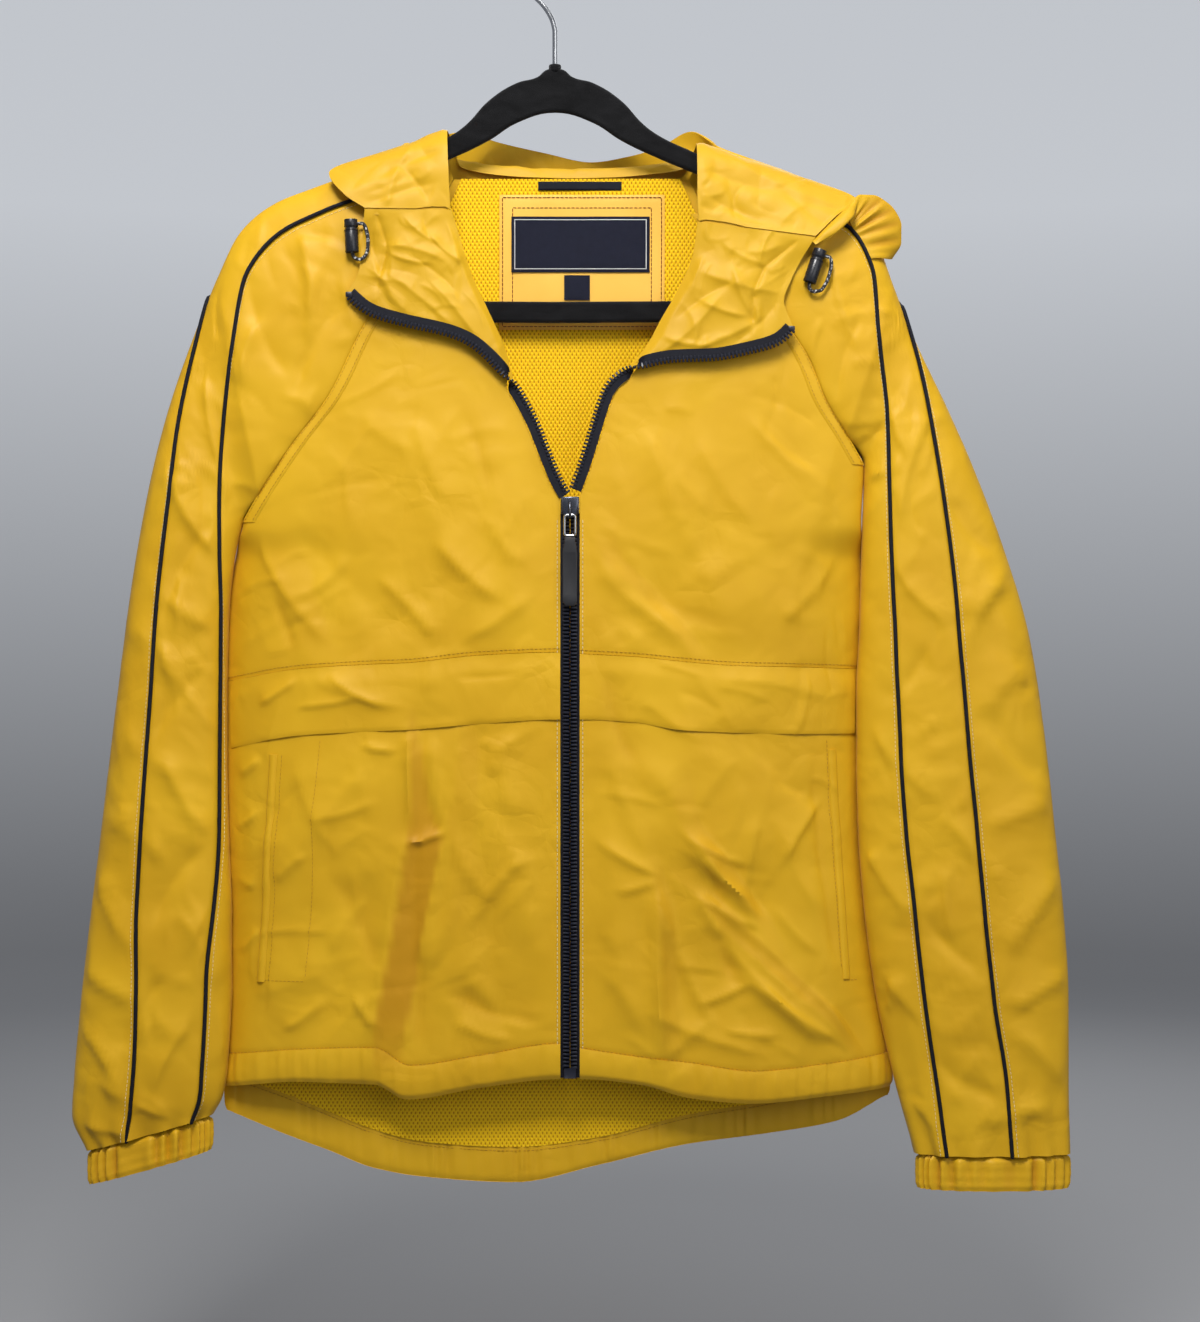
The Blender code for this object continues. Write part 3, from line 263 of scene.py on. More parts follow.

# ---------------------------------------------------------------- creases, listed

# A crease: both ends, how far its middle bows aside, half width and height (a trough is negative).
Crease = tuple[float, float, float, float, float, float, float]
FRONT_CREASES: dict[Side, tuple[Crease, ...]] = {
    Side.RIGHT: (
        (-98, -540, -96, -606, 0, 6, 1.6),
        (-96, -606, -112, -690, 2, 6, 1.6),
        (-112, -690, -121, -748, 0, 7, 1.2),
        (-84, -545, -74, -606, 2, 7, 1.5),
        (-74, -606, -95, -700, -3, 7, 1.8),
        (-95, -700, -101, -752, 0, 7, 1.3),
        (-90, -560, -92, -740, 4, 11, -2.0),
        (-36, -545, -28, -600, 2, 9, 1.4),
        (-62, -636, -86, -700, -3, 9, 1.2),
        (-74, -600, -44, -655, 3, 8, 1.2),
        (-24, -640, -7, -696, 2, 8, 1.0),
        (-174, -560, -146, -622, 3, 10, 1.0),
        (-150, -640, -120, -700, -3, 12, -1.1),
        (-60, -700, -20, -742, 4, 11, 1.0),
        (-200, -410, -153, -480, 4, 8, 1.3),
        (-190, -450, -176, -486, 0, 6, -1.0),
        (-79, -413, -37, -452, 2, 7, 1.5),
        (-118, -438, -79, -480, -2, 8, 1.3),
        (-174, -452, -140, -424, 3, 7, 1.2),
        (-58, -478, -18, -451, 2, 8, 1.1),
        (-140, -360, -138, -398, 1, 5, 0.9),
        (-92, -335, -66, -392, 3, 9, 1.0),
        (-60, -330, -44, -380, -2, 8, -0.9),
        (-128, -330, -96, -352, 2, 8, 0.8),
        (-46, -395, -22, -430, 2, 7, 1.2),
        (-160, -505, -100, -524, 3, 8, 0.7),
        (-196, -522, -173, -506, 1, 4, 1.3),
        (-150, -503, -113, -524, 2, 5, 1.3),
        (-170, -524, -131, -518, 1, 4, 1.0),
        (-128, -550, -107, -553, 1, 4, 1.2),
        (-98, -616, -74, -608, 1, 3, 1.9),
        (-46, -544, -40, -570, 0, 4, 1.0),
        (-19, -624, -58, -672, 2, 6, 1.3),
        (-70, -715, -10, -734, 5, 12, -1.6),
        (-166, -624, -186, -642, 1, 4, 1.2),
        (-160, -600, -120, -588, 2, 5, 0.9),
        (-134, -718, -119, -739, 1, 4, 1.3),
        (-182, -742, -155, -721, 2, 5, 1.4),
        (-214, -570, -199, -560, 1, 4, 1.5),
        (-216, -606, -200, -596, 1, 4, 1.5),
        (-217, -640, -203, -646, 1, 4, 1.4),
        (-214, -690, -200, -676, 1, 4, 1.3),
        (-40, -600, -10, -650, 2, 5, 0.9),
        (-130, -655, -150, -690, 2, 5, 1.0),
        (-66, -736, -30, -748, 2, 5, 1.1),
    ),
    Side.LEFT: (
        (87, -619, 131, -654, 2, 4, 1.8),
        (88, -612, 129, -630, 2, 4, 1.3),
        (96, -651, 112, -678, 2, 4, 1.8),
        (112, -678, 173, -748, 3, 5, 2.0),
        (103, -654, 137, -672, 2, 4, 1.2),
        (67, -640, 70, -751, 1, 4, 1.6),
        (69, -654, 105, -736, 2, 5, 1.7),
        (105, -736, 76, -760, 1, 4, 1.4),
        (100, -724, 131, -710, 1, 4, 1.9),
        (131, -710, 191, -751, 2, 5, 1.7),
        (116, -742, 149, -745, 1, 4, 1.3),
        (22, -609, 67, -636, 2, 5, 1.6),
        (43, -648, 67, -641, 1, 4, 1.2),
        (137, -600, 131, -648, 2, 5, 1.2),
        (181, -588, 152, -630, 2, 6, 1.6),
        (34, -503, 52, -560, 3, 9, -1.2),
        (24, -640, 40, -690, 2, 5, 1.0),
        (150, -660, 176, -690, 2, 5, 1.1),
        (24, -424, 85, -478, 3, 8, 1.5),
        (31, -398, 65, -452, -3, 7, 1.2),
        (40, -440, 120, -470, 4, 10, -1.1),
        (87, -609, 139, -665, 3, 7, 2.0),
        (99, -652, 200, -749, -6, 8, 2.2),
        (68, -648, 72, -756, 3, 8, 1.6),
        (129, -708, 180, -749, 2, 6, 1.6),
        (110, -630, 128, -720, 6, 12, -1.6),
        (60, -520, 99, -547, 2, 8, 0.9),
        (153, -465, 187, -424, 3, 8, 1.2),
        (65, -730, 139, -757, 3, 8, 1.3),
        (40, -560, 60, -620, 3, 9, 1.0),
        (30, -700, 58, -742, -3, 8, 1.2),
        (150, -600, 176, -660, 3, 9, 1.0),
        (96, -345, 130, -398, 3, 9, 1.1),
        (60, -340, 76, -392, -2, 8, 0.9),
        (130, -330, 172, -372, 2, 8, 1.0),
        (44, -470, 58, -486, 0, 6, 0.9),
        (110, -505, 190, -520, -3, 9, 0.7),
        (176, -556, 190, -700, 3, 7, -0.9),
        (120, -560, 92, -600, 2, 9, 0.9),
        (140, -420, 100, -440, 2, 9, 0.8),
    ),
}
# A pressed fold: the cloth stands up along its left edge, slopes down to its right edge and
# comes back gently on both sides.
PLEAT_COLUMNS = ("z", "left_x", "right_x", "rise")
PLEATS = {
    Side.RIGHT: (
        (
            (-520, -98, -91, 0), (-540, -97.7, -91, 1.2), (-560, -96.1, -87, 1.7),
            (-595, -97, -81.5, 2.2), (-612, -98.5, -74.5, 2.5), (-631, -101, -78.7, 2.4),
            (-658, -105.5, -84.3, 2.5), (-686, -110.2, -90.3, 2.6), (-720, -116, -96, 2.6),
            (-752, -121, -102, 1.6), (-775, -122, -104, 0),
        ),
        (
            (-530, -66, -56, 0), (-542, -64, -52, 1.1), (-575, -66, -50, 1.5),
            (-605, -71, -52, 1.2), (-650, -70, -40, 0.6), (-690, -70, -30, 0),
        ),
        (
            (-400, -200, -180, 0), (-425, -190, -168, 1.2), (-455, -178, -158, 1.6),
            (-480, -170, -150, 1.0), (-500, -160, -140, 0),
        ),
    ),
    Side.LEFT: (
        (
            (-560, 72, 90, 0), (-600, 82, 98, 1.6), (-625, 100, 116, 2.2),
            (-650, 122, 136, 2.2), (-670, 138, 150, 1.2), (-700, 150, 160, 0),
        ),
        (
            (-620, 60, 84, 0), (-650, 92, 110, 1.6), (-680, 120, 138, 2.3),
            (-715, 158, 174, 2.4), (-745, 190, 204, 1.8), (-770, 205, 216, 0),
        ),
        (
            (-610, 60, 70, 0), (-650, 66, 78, 1.6), (-700, 70, 84, 2.0),
            (-745, 70, 86, 1.8), (-770, 70, 86, 0),
        ),
        (
            (-400, 26, 40, 0), (-420, 30, 46, 1.4), (-450, 58, 74, 1.7),
            (-478, 82, 96, 1.0), (-500, 100, 112, 0),
        ),
    ),
}
# Broad, soft unevenness of the hung cloth, as creases that are wide and low.
BROAD: dict[Side, tuple[Crease, ...]] = {
    Side.RIGHT: (
        (-190, -640, -120, -560, 0, 26, 2.4), (-60, -560, -20, -690, 0, 24, 2.0),
        (-160, -750, -120, -640, 0, 22, -2.2), (-30, -740, -60, -640, 0, 22, -1.8),
        (-200, -720, -150, -700, 0, 20, 2.0), (-110, -330, -40, -480, 0, 30, 2.0),
        (-180, -400, -110, -470, 0, 26, -2.0), (-150, -500, -60, -430, 0, 24, -1.4),
        (-50, -330, -20, -470, 0, 22, 1.4),
    ),
    Side.LEFT: (
        (60, -560, 120, -640, 0, 26, 2.4), (120, -540, 190, -600, 0, 24, -1.8),
        (30, -600, 50, -740, 0, 22, 2.2), (100, -740, 150, -640, 0, 24, -2.2),
        (170, -640, 190, -740, 0, 22, 2.2), (60, -340, 120, -480, 0, 30, 2.0),
        (150, -480, 190, -340, 0, 26, 1.8), (40, -480, 120, -400, 0, 24, -1.6),
        (24, -400, 34, -500, 0, 20, 1.2),
    ),
}
BACK_CREASES: tuple[Crease, ...] = (
    (-150, -330, -60, -420, 8, 12, 1.5),
    (-170, -420, -90, -540, 6, 14, -1.4),
    (-40, -360, -70, -520, 6, 13, 1.3),
    (40, -340, 70, -470, -5, 12, 1.4),
    (150, -360, 90, -480, 6, 12, 1.2),
    (170, -450, 120, -600, 5, 13, -1.3),
    (-190, -560, -110, -650, 5, 11, 1.4),
    (-120, -640, -160, -760, 4, 10, 1.3),
    (-50, -600, -20, -740, 6, 13, 1.5),
    (30, -560, 10, -690, 4, 12, -1.2),
    (80, -620, 130, -740, 6, 11, 1.6),
    (190, -620, 140, -700, 3, 10, 1.1),
    (0, -450, 60, -540, 4, 11, 1.0),
    (-90, -740, -40, -780, 3, 9, 1.0),
    (60, -750, 20, -800, 3, 9, 0.9),
    (-180, -680, -200, -770, 3, 9, 1.0),
)
SLEEVE_CREASES: dict[Side, tuple[Crease, ...]] = {
    Side.RIGHT: (
        (-196, -264, -210, -307, 4, 8, 1.8),
        (-172, -202, -166, -278, -4, 7, 1.4),
        (-206, -240, -180, -300, 5, 10, -1.4),
        (-235, -300, -225, -360, 3, 7, 1.6),
        (-262, -360, -228, -420, 5, 9, 1.8),
        (-230, -400, -262, -462, 4, 8, -1.6),
        (-272, -440, -232, -470, 3, 8, 1.8),
        (-284, -470, -246, -520, -4, 9, 1.6),
        (-236, -500, -276, -560, 4, 9, -1.8),
        (-290, -540, -250, -572, 3, 9, 1.7),
        (-262, -560, -232, -610, 3, 8, 1.6),
        (-300, -600, -262, -628, -3, 10, 1.9),
        (-236, -620, -268, -668, 4, 9, -1.6),
        (-308, -640, -280, -690, 3, 8, 1.7),
        (-252, -664, -230, -712, -3, 8, 1.7),
        (-318, -700, -274, -724, 3, 8, 2.0),
        (-262, -706, -292, -756, 3, 9, -1.9),
        (-318, -742, -290, -784, -3, 8, 2.0),
        (-244, -734, -270, -782, 3, 8, 1.6),
        (-306, -776, -262, -800, 2, 7, 1.9),
        (-318, -806, -286, -812, 1, 6, 1.5),
        (-132, -200, -118, -236, 3, 7, 1.1),
        (-150, -214, -164, -262, 3, 8, 1.0),
        (-142, -250, -176, -318, 4, 8, -1.0),
    ),
    Side.LEFT: (
        (220, -300, 236, -352, 3, 8, 1.7),
        (252, -330, 232, -398, 4, 9, 1.6),
        (262, -380, 296, -420, 3, 9, -1.6),
        (224, -420, 262, -466, 4, 9, 1.6),
        (306, -430, 272, -492, 4, 9, 2.0),
        (250, -486, 222, -520, -3, 8, -1.4),
        (318, -500, 286, -528, 3, 8, 1.9),
        (292, -528, 330, -572, 4, 9, -1.9),
        (216, -540, 258, -586, 4, 9, 1.6),
        (334, -590, 292, -606, 2, 8, 2.0),
        (262, -600, 300, -648, -3, 9, 1.6),
        (212, -620, 240, -662, 3, 8, 1.4),
        (340, -640, 306, -690, 3, 9, 2.1),
        (250, -668, 284, -700, 3, 8, -1.6),
        (346, -706, 310, -728, 2, 8, 1.9),
        (222, -704, 262, -744, 3, 8, 1.6),
        (306, -742, 342, -780, -3, 8, 2.0),
        (252, -762, 296, -786, 3, 8, -1.6),
        (332, -796, 288, -806, 2, 7, 2.0),
        (242, -790, 272, -816, 2, 7, 1.4),
        (188, -230, 204, -282, 3, 8, 1.4),
        (150, -206, 170, -246, 3, 8, 1.0),
        (206, -262, 190, -316, 3, 8, -1.2),
    ),
}
LAPEL_CREASES: dict[Side, tuple[Crease, ...]] = {
    Side.RIGHT: (
        (-44, -292, -82, -240, 3, 6, 1.6),
        (-62, -276, -108, -236, 2, 6, 1.3),
        (-90, -268, -122, -226, -3, 6, 1.3),
        (-74, -224, -112, -214, 2, 6, 1.6),
        (-66, -246, -96, -222, 2, 5, -1.2),
        (-100, -196, -78, -212, 2, 5, 1.4),
        (-112, -250, -128, -206, 2, 6, -1.2),
        (-58, -236, -72, -200, 1, 5, 1.2),
        (-119, -194, -112, -216, 0, 3, -1.6),
        (-112, -216, -119, -243, 0, 3, -1.8),
        (-110, -220, -82, -226, 2, 4, 1.5),
        (-84, -206, -60, -226, 2, 5, 1.4),
        (-92, -262, -70, -268, 1, 4, 1.2),
    ),
    Side.LEFT: (
        (66, -290, 110, -250, 3, 7, 1.6),
        (90, -286, 140, -262, 2, 6, 1.3),
        (98, -232, 150, -246, 2, 7, 1.8),
        (84, -262, 122, -238, -2, 6, -1.4),
        (112, -212, 142, -228, 2, 6, 1.4),
        (118, -282, 150, -252, 2, 6, -1.2),
        (100, -222, 92, -246, 1, 5, 1.2),
        (162, -212, 141, -229, 0, 3, -1.6),
        (141, -229, 134, -245, 0, 3, -1.6),
        (134, -245, 133, -268, 0, 3, -1.6),
        (96, -250, 128, -262, 2, 4, 1.4),
        (120, -232, 134, -262, 2, 4, 1.3),
        (74, -276, 104, -282, 2, 4, 1.2),
    ),
}
HOOD_CREASES: tuple[Crease, ...] = (
    (-78, -150, -118, -168, 2, 6, 1.6),
    (-80, -172, -126, -188, 2, 6, 1.4),
    (-96, -146, -112, -190, 3, 6, -1.3),
    (-84, -186, -104, -160, 2, 5, 1.2),
    (100, -160, 150, -176, 3, 8, 1.8),
    (102, -180, 158, -204, 3, 8, 1.7),
    (120, -154, 196, -188, 4, 9, -1.6),
    (116, -170, 134, -206, 2, 7, 1.5),
    (150, -170, 190, -204, 3, 8, 1.5),
    (168, -184, 206, -188, 2, 6, 1.4),
    (140, -200, 170, -214, 2, 6, -1.2),
    (206, -184, 226, -204, 2, 5, 1.4),
)
BAG_CREASES: tuple[Crease, ...] = (
    (-70, -180, -40, -300, 6, 10, 1.8),
    (-20, -170, -10, -320, 4, 12, -1.6),
    (30, -180, 50, -330, -5, 11, 1.7),
    (90, -180, 70, -280, 5, 10, 1.6),
    (-60, -300, 10, -345, 6, 9, 1.6),
    (20, -340, 90, -290, 6, 9, 1.5),
    (-40, -220, 20, -260, 5, 12, 1.3),
    (60, -210, 110, -250, 4, 9, -1.3),
    (-90, -200, -70, -260, 3, 8, 1.2),
)


# ---------------------------------------------------------------- smooth lines and grids


class Smooth:
    """A smooth line through a column of values, that never overshoots them."""

    def __init__(self, knots: Sequence[float], values: Sequence[float]) -> None:
        """Works out the slopes at the knots.

        Args:
            knots: where the values stand, in any order.
            values: the values there.
        """
        order = np.argsort(knots)
        self.knots = np.asarray(knots, float)[order]
        self.values = np.asarray(values, float)[order]
        step = np.diff(self.knots)
        rise = np.diff(self.values) / step
        slope = np.zeros_like(self.values)
        slope[0], slope[-1] = rise[0], rise[-1]
        before, after = rise[:-1], rise[1:]
        near, far = 2 * step[1:] + step[:-1], step[1:] + 2 * step[:-1]
        level = before * after <= 0
        safe = [np.where(level, 1.0, part) for part in (before, after)]
        mean = (near + far) / (near / safe[0] + far / safe[1])
        slope[1:-1] = np.where(level, 0.0, mean)
        self.slope = slope

    def __call__(self, place: Array | float) -> Array:
        """The line's value.

        Args:
            place: where to read it.

        Returns:
            The values, in the shape of place.
        """
        place = np.clip(np.asarray(place, float), self.knots[0], self.knots[-1])
        index = np.clip(np.searchsorted(self.knots, place) - 1, 0, len(self.knots) - 2)
        step = self.knots[index + 1] - self.knots[index]
        t = (place - self.knots[index]) / step
        start, end = self.values[index], self.values[index + 1]
        out, back = self.slope[index] * step, self.slope[index + 1] * step
        cube, square = t**3, t**2
        return (
            start * (2 * cube - 3 * square + 1) + out * (cube - 2 * square + t)
            + end * (3 * square - 2 * cube) + back * (cube - square)
        )


def by_key(rows: Rows, names: Sequence[str], key: str) -> dict[str, Smooth]:
    """A table's columns as smooth lines over one of them.

    Args:
        rows: the table.
        names: its columns' names.
        key: the column that the others are read by.

    Returns:
        A smooth line for each other column.
    """
    table = dict(zip(names, np.array(rows, float).T))
    return {name: Smooth(table[key], table[name]) for name in names if name != key}


def by_row(rows: Rows, names: Sequence[str]) -> dict[str, Smooth]:
    """A table's columns as smooth lines over the row number.

    Args:
        rows: the table.
        names: its columns' names.

    Returns:
        A smooth line for each column.
    """
    table = np.array(rows, float)
    return {name: Smooth(np.arange(len(table)), table[:, i]) for i, name in enumerate(names)}


def line_of(path: Rows) -> Callable[[Array | float], Array]:
    """A smooth path, read by the share of its length.

    Args:
        path: the points along it.

    Returns:
        A function from shares to points.
    """
    points = np.array(path, float)
    run = np.concatenate([[0], np.cumsum(np.linalg.norm(np.diff(points, axis=0), axis=1))])
    lines = [Smooth(run / run[-1], column) for column in points.T]
    return lambda share: np.stack([line(share) for line in lines], axis=-1)


def rounding(share: Array, power: float) -> Array:
    """1 in the middle of a hollow and 0 at its edge, on a rounded arch.

    Args:
        share: 0 in the middle and 1 at the edge, either way.
        power: how square the arch is.

    Returns:
        The arch's height.
    """
    return np.clip(1 - np.clip(np.abs(share), 0, 1) ** power, 0, 1) ** (1 / power)


def fade(amount: Array | float) -> Array:
    """A soft step from 0 to 1."""
    t = np.clip(amount, 0, 1)
    return t * t * (3 - 2 * t)


def relief(creases: Iterable[Crease], x: Array, z: Array) -> Array:
    """How far the creases stand out of the cloth.

    Args:
        creases: the creases.
        x: the places across.
        z: the places up.

    Returns:
        The height at each place.
    """
    total = np.zeros(np.broadcast(x, z).shape)
    for x1, z1, x2, z2, bow, half_width, height in creases:
        run_x, run_z = x2 - x1, z2 - z1
        length = math.hypot(run_x, run_z)
        share = ((x - x1) * run_x + (z - z1) * run_z) / length**2
        inside = np.clip(share, 0, 1)
        aside = ((x - x1) * run_z - (z - z1) * run_x) / length - 4 * bow * inside * (1 - inside)
        lasting = fade((share + 0.12) * 3) * fade((1.12 - share) * 3)
        lower = aside * (1 if run_x > 0 else -1) > 0
        width = half_width * (0.7 + 0.3 * lasting) * np.where(lower, 0.6, 1.35)
        total += height * lasting * np.exp(-1.5 * (np.sqrt((aside / width) ** 2 + 0.02) - 0.14))
    return total


def pressed(pleats: Iterable[Rows], x: Array, z: Array) -> Array:
    """How far the pressed folds stand out of the cloth, as relief does for the creases."""
    total = np.zeros(np.broadcast(x, z).shape)
    for rows in pleats:
        at = by_key(rows, PLEAT_COLUMNS, "z")
        left, right = at["left_x"](z), at["right_x"](z)
        half = (right - left) / 2
        share = (x - left) / half - 1
        beyond = np.maximum(np.abs(share) - 1, 0) * half
        total -= at["rise"](z) * np.clip(share, -1, 1) * np.exp(-beyond / 22)
    return total


def crinkles(
    seed: int, count: int, low: tuple[float, float], high: tuple[float, float],
    lean: float, spread: float = 40.0, length: tuple[float, float] = (18, 55),
    height: tuple[float, float] = (0.35, 0.95),
) -> tuple[Crease, ...]:
    """Small creases strewn between the main ones.

    Args:
        seed: gives the same creases on each run.
        count: how many.
        low: the lowest x and z.
        high: the highest x and z.
        lean: their usual direction, in degrees.
        spread: how far they turn from it.
        length: the shortest and longest.
        height: the lowest and highest.

    Returns:
        The creases.
    """
    draw = np.random.default_rng(seed)
    made = []
    for _ in range(count):
        x, z = draw.uniform(low[0], high[0]), draw.uniform(low[1], high[1])
        angle = math.radians(lean + draw.uniform(-spread, spread))
        reach = draw.uniform(*length) / 2
        side_x, side_z = reach * math.cos(angle), reach * math.sin(angle)
        rise = draw.uniform(*height) * (1 if draw.random() < 0.62 else -0.8)
        made.append(
            (x - side_x, z - side_z, x + side_x, z + side_z,
             draw.uniform(-4, 4), draw.uniform(2.6, 5.5), rise)
        )
    return tuple(made)


# ---------------------------------------------------------------- materials


class Value:
    """A number in a shader, on which sums can be written."""

    def __init__(self, shader: "Shader", socket: bpy.types.NodeSocket) -> None:
        """Wraps a socket of the shader."""
        self.shader, self.socket = shader, socket

    def _sum(self, operation: str, *terms: "Value | float") -> "Value":
        """Adds a Math node."""
        sockets = dict(enumerate(terms))
        return self.shader.add("ShaderNodeMath", {"operation": operation}, sockets)

    def __add__(self, other: "Value | float") -> "Value":
        """self + other"""
        return self._sum("ADD", self, other)

    __radd__ = __add__

    def __sub__(self, other: "Value | float") -> "Value":
        """self - other"""
        return self._sum("SUBTRACT", self, other)

    def __rsub__(self, other: float) -> "Value":
        """other - self"""
        return self._sum("SUBTRACT", other, self)

    def __mul__(self, other: "Value | float") -> "Value":
        """self * other"""
        return self._sum("MULTIPLY", self, other)

    __rmul__ = __mul__

    def __truediv__(self, other: "Value | float") -> "Value":
        """self / other"""
        return self._sum("DIVIDE", self, other)

    def __pow__(self, other: float) -> "Value":
        """self ** other"""
        return self._sum("POWER", self, other)

    def apply(self, operation: str, *others: "Value | float") -> "Value":
        """Any other operation of a Math node."""
        return self._sum(operation, self, *others)

    def clamped(self) -> "Value":
        """Kept between 0 and 1."""
        return self._sum("MINIMUM", self._sum("MAXIMUM", self, 0.0), 1.0)


Input = Value | float | tuple[float, ...]


class Shader:
    """A material's nodes, as they are added."""

    def __init__(self, name: str) -> None:
        """Starts a material with a Principled shader."""
        self.material = bpy.data.materials.new(name)
        self.material.use_nodes = True
        self.nodes = self.material.node_tree.nodes
        self.links = self.material.node_tree.links
        self.surface = self.nodes["Principled BSDF"]

    def add(
        self, kind: str, settings: dict[str, object], inputs: dict[str | int, Input],
        out: str | int = 0,
    ) -> Value:
        """Adds a node.

        Args:
            kind: its type.
            settings: its own settings, or a ramp's stops under "stops".
            inputs: values or links for its sockets, by name or number.
            out: the socket that is read.

        Returns:
            That socket.
        """
        node = self.nodes.new(kind)
        for key, setting in settings.items():
            if key == "stops":
                ramp = node.color_ramp
                while len(ramp.elements) < len(setting):
                    ramp.elements.new(0.5)
                for element, (place, shade) in zip(ramp.elements, setting):
                    element.position, element.color = place, (*shade, 1)
            else:
                setattr(node, key, setting)
        for key, value in inputs.items():
            self.feed(node.inputs[key], value)
        return Value(self, node.outputs[out])

    def feed(self, socket: bpy.types.NodeSocket, value: Input) -> None:
        """Links a value to a socket, or sets it there."""
        if isinstance(value, Value):
            self.links.new(value.socket, socket)
        elif isinstance(value, tuple) and len(value) == 3 and socket.type == "RGBA":
            socket.default_value = (*value, 1)
        else:
            socket.default_value = value

    def place(self, scale: tuple[float, float, float] = (1, 1, 1), turn: float = 0.0) -> Value:
        """The place on the object, stretched and turned about Y.

        Args:
            scale: how much each axis is stretched.
            turn: the turn in degrees.

        Returns:
            The place.
        """
        coordinates = self.add("ShaderNodeTexCoord", {}, {}, "Object")
        rotation = (0.0, math.radians(turn), 0.0)
        return self.add(
            "ShaderNodeMapping", {}, {"Vector": coordinates, "Rotation": rotation, "Scale": scale}
        )

    def noise(
        self, scale: float, place: Value | None = None, detail: float = 2.0, ragged: float = 0.5,
        twist: float = 0.0,
    ) -> Value:
        """A cloudy pattern from 0 to 1.

        Args:
            scale: patches to the metre.
            place: where it is read.
            detail: how many finer layers it has.
            ragged: how strong they are.
            twist: how far it is distorted.

        Returns:
            The pattern.
        """
        return self.add(
            "ShaderNodeTexNoise", {"noise_dimensions": "3D"},
            {"Vector": place or self.place(), "Scale": scale, "Detail": detail,
             "Roughness": ragged, "Distortion": twist},
        )

    def cracks(self, scale: float, place: Value) -> Value:
        """The distance to the edges of a crazed pattern, 0 on an edge."""
        return self.add(
            "ShaderNodeTexVoronoi", {"feature": "DISTANCE_TO_EDGE"},
            {"Vector": place, "Scale": scale, "Randomness": 1.0},
        )

    def shaken(self, place: Value, scale: float, amount: float) -> Value:
        """A place that is pushed aside by a cloudy pattern.

        Args:
            place: the place.
            scale: the pattern's patches to the metre.
            amount: how far it is pushed, in metres.

        Returns:
            The new place.
        """
        cloud = self.add(
            "ShaderNodeTexNoise", {"noise_dimensions": "3D"},
            {"Vector": place, "Scale": scale, "Detail": 1.0}, "Color",
        )
        centred = self.add(
            "ShaderNodeVectorMath", {"operation": "SUBTRACT"}, {0: cloud, 1: (0.5, 0.5, 0.5)}
        )
        pushed = self.add(
            "ShaderNodeVectorMath", {"operation": "SCALE"}, {0: centred, "Scale": amount}
        )
        return self.add("ShaderNodeVectorMath", {"operation": "ADD"}, {0: place, 1: pushed})

    def axes(self, place: Value | None = None) -> tuple[Value, Value, Value]:
        """The three parts of a place."""
        x = self.add("ShaderNodeSeparateXYZ", {}, {0: place or self.place()}, "X")
        y, z = (Value(self, x.socket.node.outputs[name]) for name in ("Y", "Z"))
        return x, y, z

    def weave(self, threads: float) -> Value:
        """A plain weave's height, from 0 to 1, of so many threads to the metre."""
        x, y, z = self.axes()
        turn = threads * math.pi
        return ((x + y) * turn).apply("SINE") * (z * turn).apply("SINE") * 0.5 + 0.5

    def mix(self, factor: Input, first: Input, second: Input) -> Value:
        """A colour between two."""
        return self.add(
            "ShaderNodeMix", {"data_type": "RGBA"}, {0: factor, 6: first, 7: second}, 2
        )

    def bump(self, height: Value, distance: float, strength: float = 1.0) -> Value:
        """A Normal from a height.

        Args:
            height: the height, about 0 to 1.
            distance: how far 1 stands out, in metres.
            strength: how much of it shows.

        Returns:
            The normal.
        """
        return self.add(
            "ShaderNodeBump", {}, {"Height": height, "Distance": distance, "Strength": strength}
        )

    def finish(self, **inputs: Input) -> bpy.types.Material:
        """Feeds the Principled shader.

        Args:
            inputs: its sockets, with _ for a space.

        Returns:
            The material.
        """
        for name, value in inputs.items():
            self.feed(self.surface.inputs[name.replace("_", " ")], value)
        return self.material


@dataclass(frozen=True)
class Nylon:
    """Crisp windbreaker cloth: a fine plain weave, a soft sheen and a fine crumple, with painted shade where the
    piece's tone attribute is high.
    """

    name: str
    light: tuple[float, float, float]
    deep: tuple[float, float, float]
    crumple: float = 0.0010
    roughness: float = 0.5
    sheen: float = 0.03
    threads: float = 2600.0

    def make(self) -> bpy.types.Material:
        """Builds the material.

        Returns:
            The material.
        """
        shader = Shader(self.name)
        place = shader.place()
        cloud = shader.noise(9, place, 3, 0.55, 0.4)
        mottle = shader.noise(60, place, 2)
        shade = (cloud * 1.5 - 0.35 + (mottle - 0.5) * 0.25).clamped()
        colour = shader.mix(shade, self.deep, self.light)
        # Painted shade: the colour is painted deeper and more orange in troughs and folds, as far as the piece's
        # tone attribute says.
        tone = shader.add("ShaderNodeAttribute", {"attribute_name": "tone"}, {}, "Fac")
        painted_shade_colour = tuple(part * share for part, share in zip(self.light, (0.70, 0.56, 0.4)))
        colour = shader.mix(tone.clamped(), colour, painted_shade_colour)
        patches = ((shader.noise(14, place, 1) - 0.45) * 4).clamped()
        large = shader.cracks(20, shader.shaken(place, 24, 0.035))
        small = shader.cracks(58, shader.shaken(place, 60, 0.014))
        lines = (large * -7 + 1).clamped() * patches + (small * -5 + 1).clamped() * patches * 0.35
        soft = shader.noise(24, place, 2, 0.5, 0.4)
        crumple = soft * 1.1 - lines * 0.16
        weave = shader.weave(self.threads)
        fine = shader.bump(weave, 0.00004, 0.35)
        normal = shader.add(
            "ShaderNodeBump", {},
            {"Height": crumple, "Distance": self.crumple * 2.2, "Strength": 1.0, "Normal": fine},
        )
        rough = mottle * 0.12 + (self.roughness - 0.06)
        return shader.finish(
            Base_Color=colour, Roughness=rough, Normal=normal, Specular_IOR_Level=0.24,
            Sheen_Weight=self.sheen, Sheen_Roughness=0.45,
        )


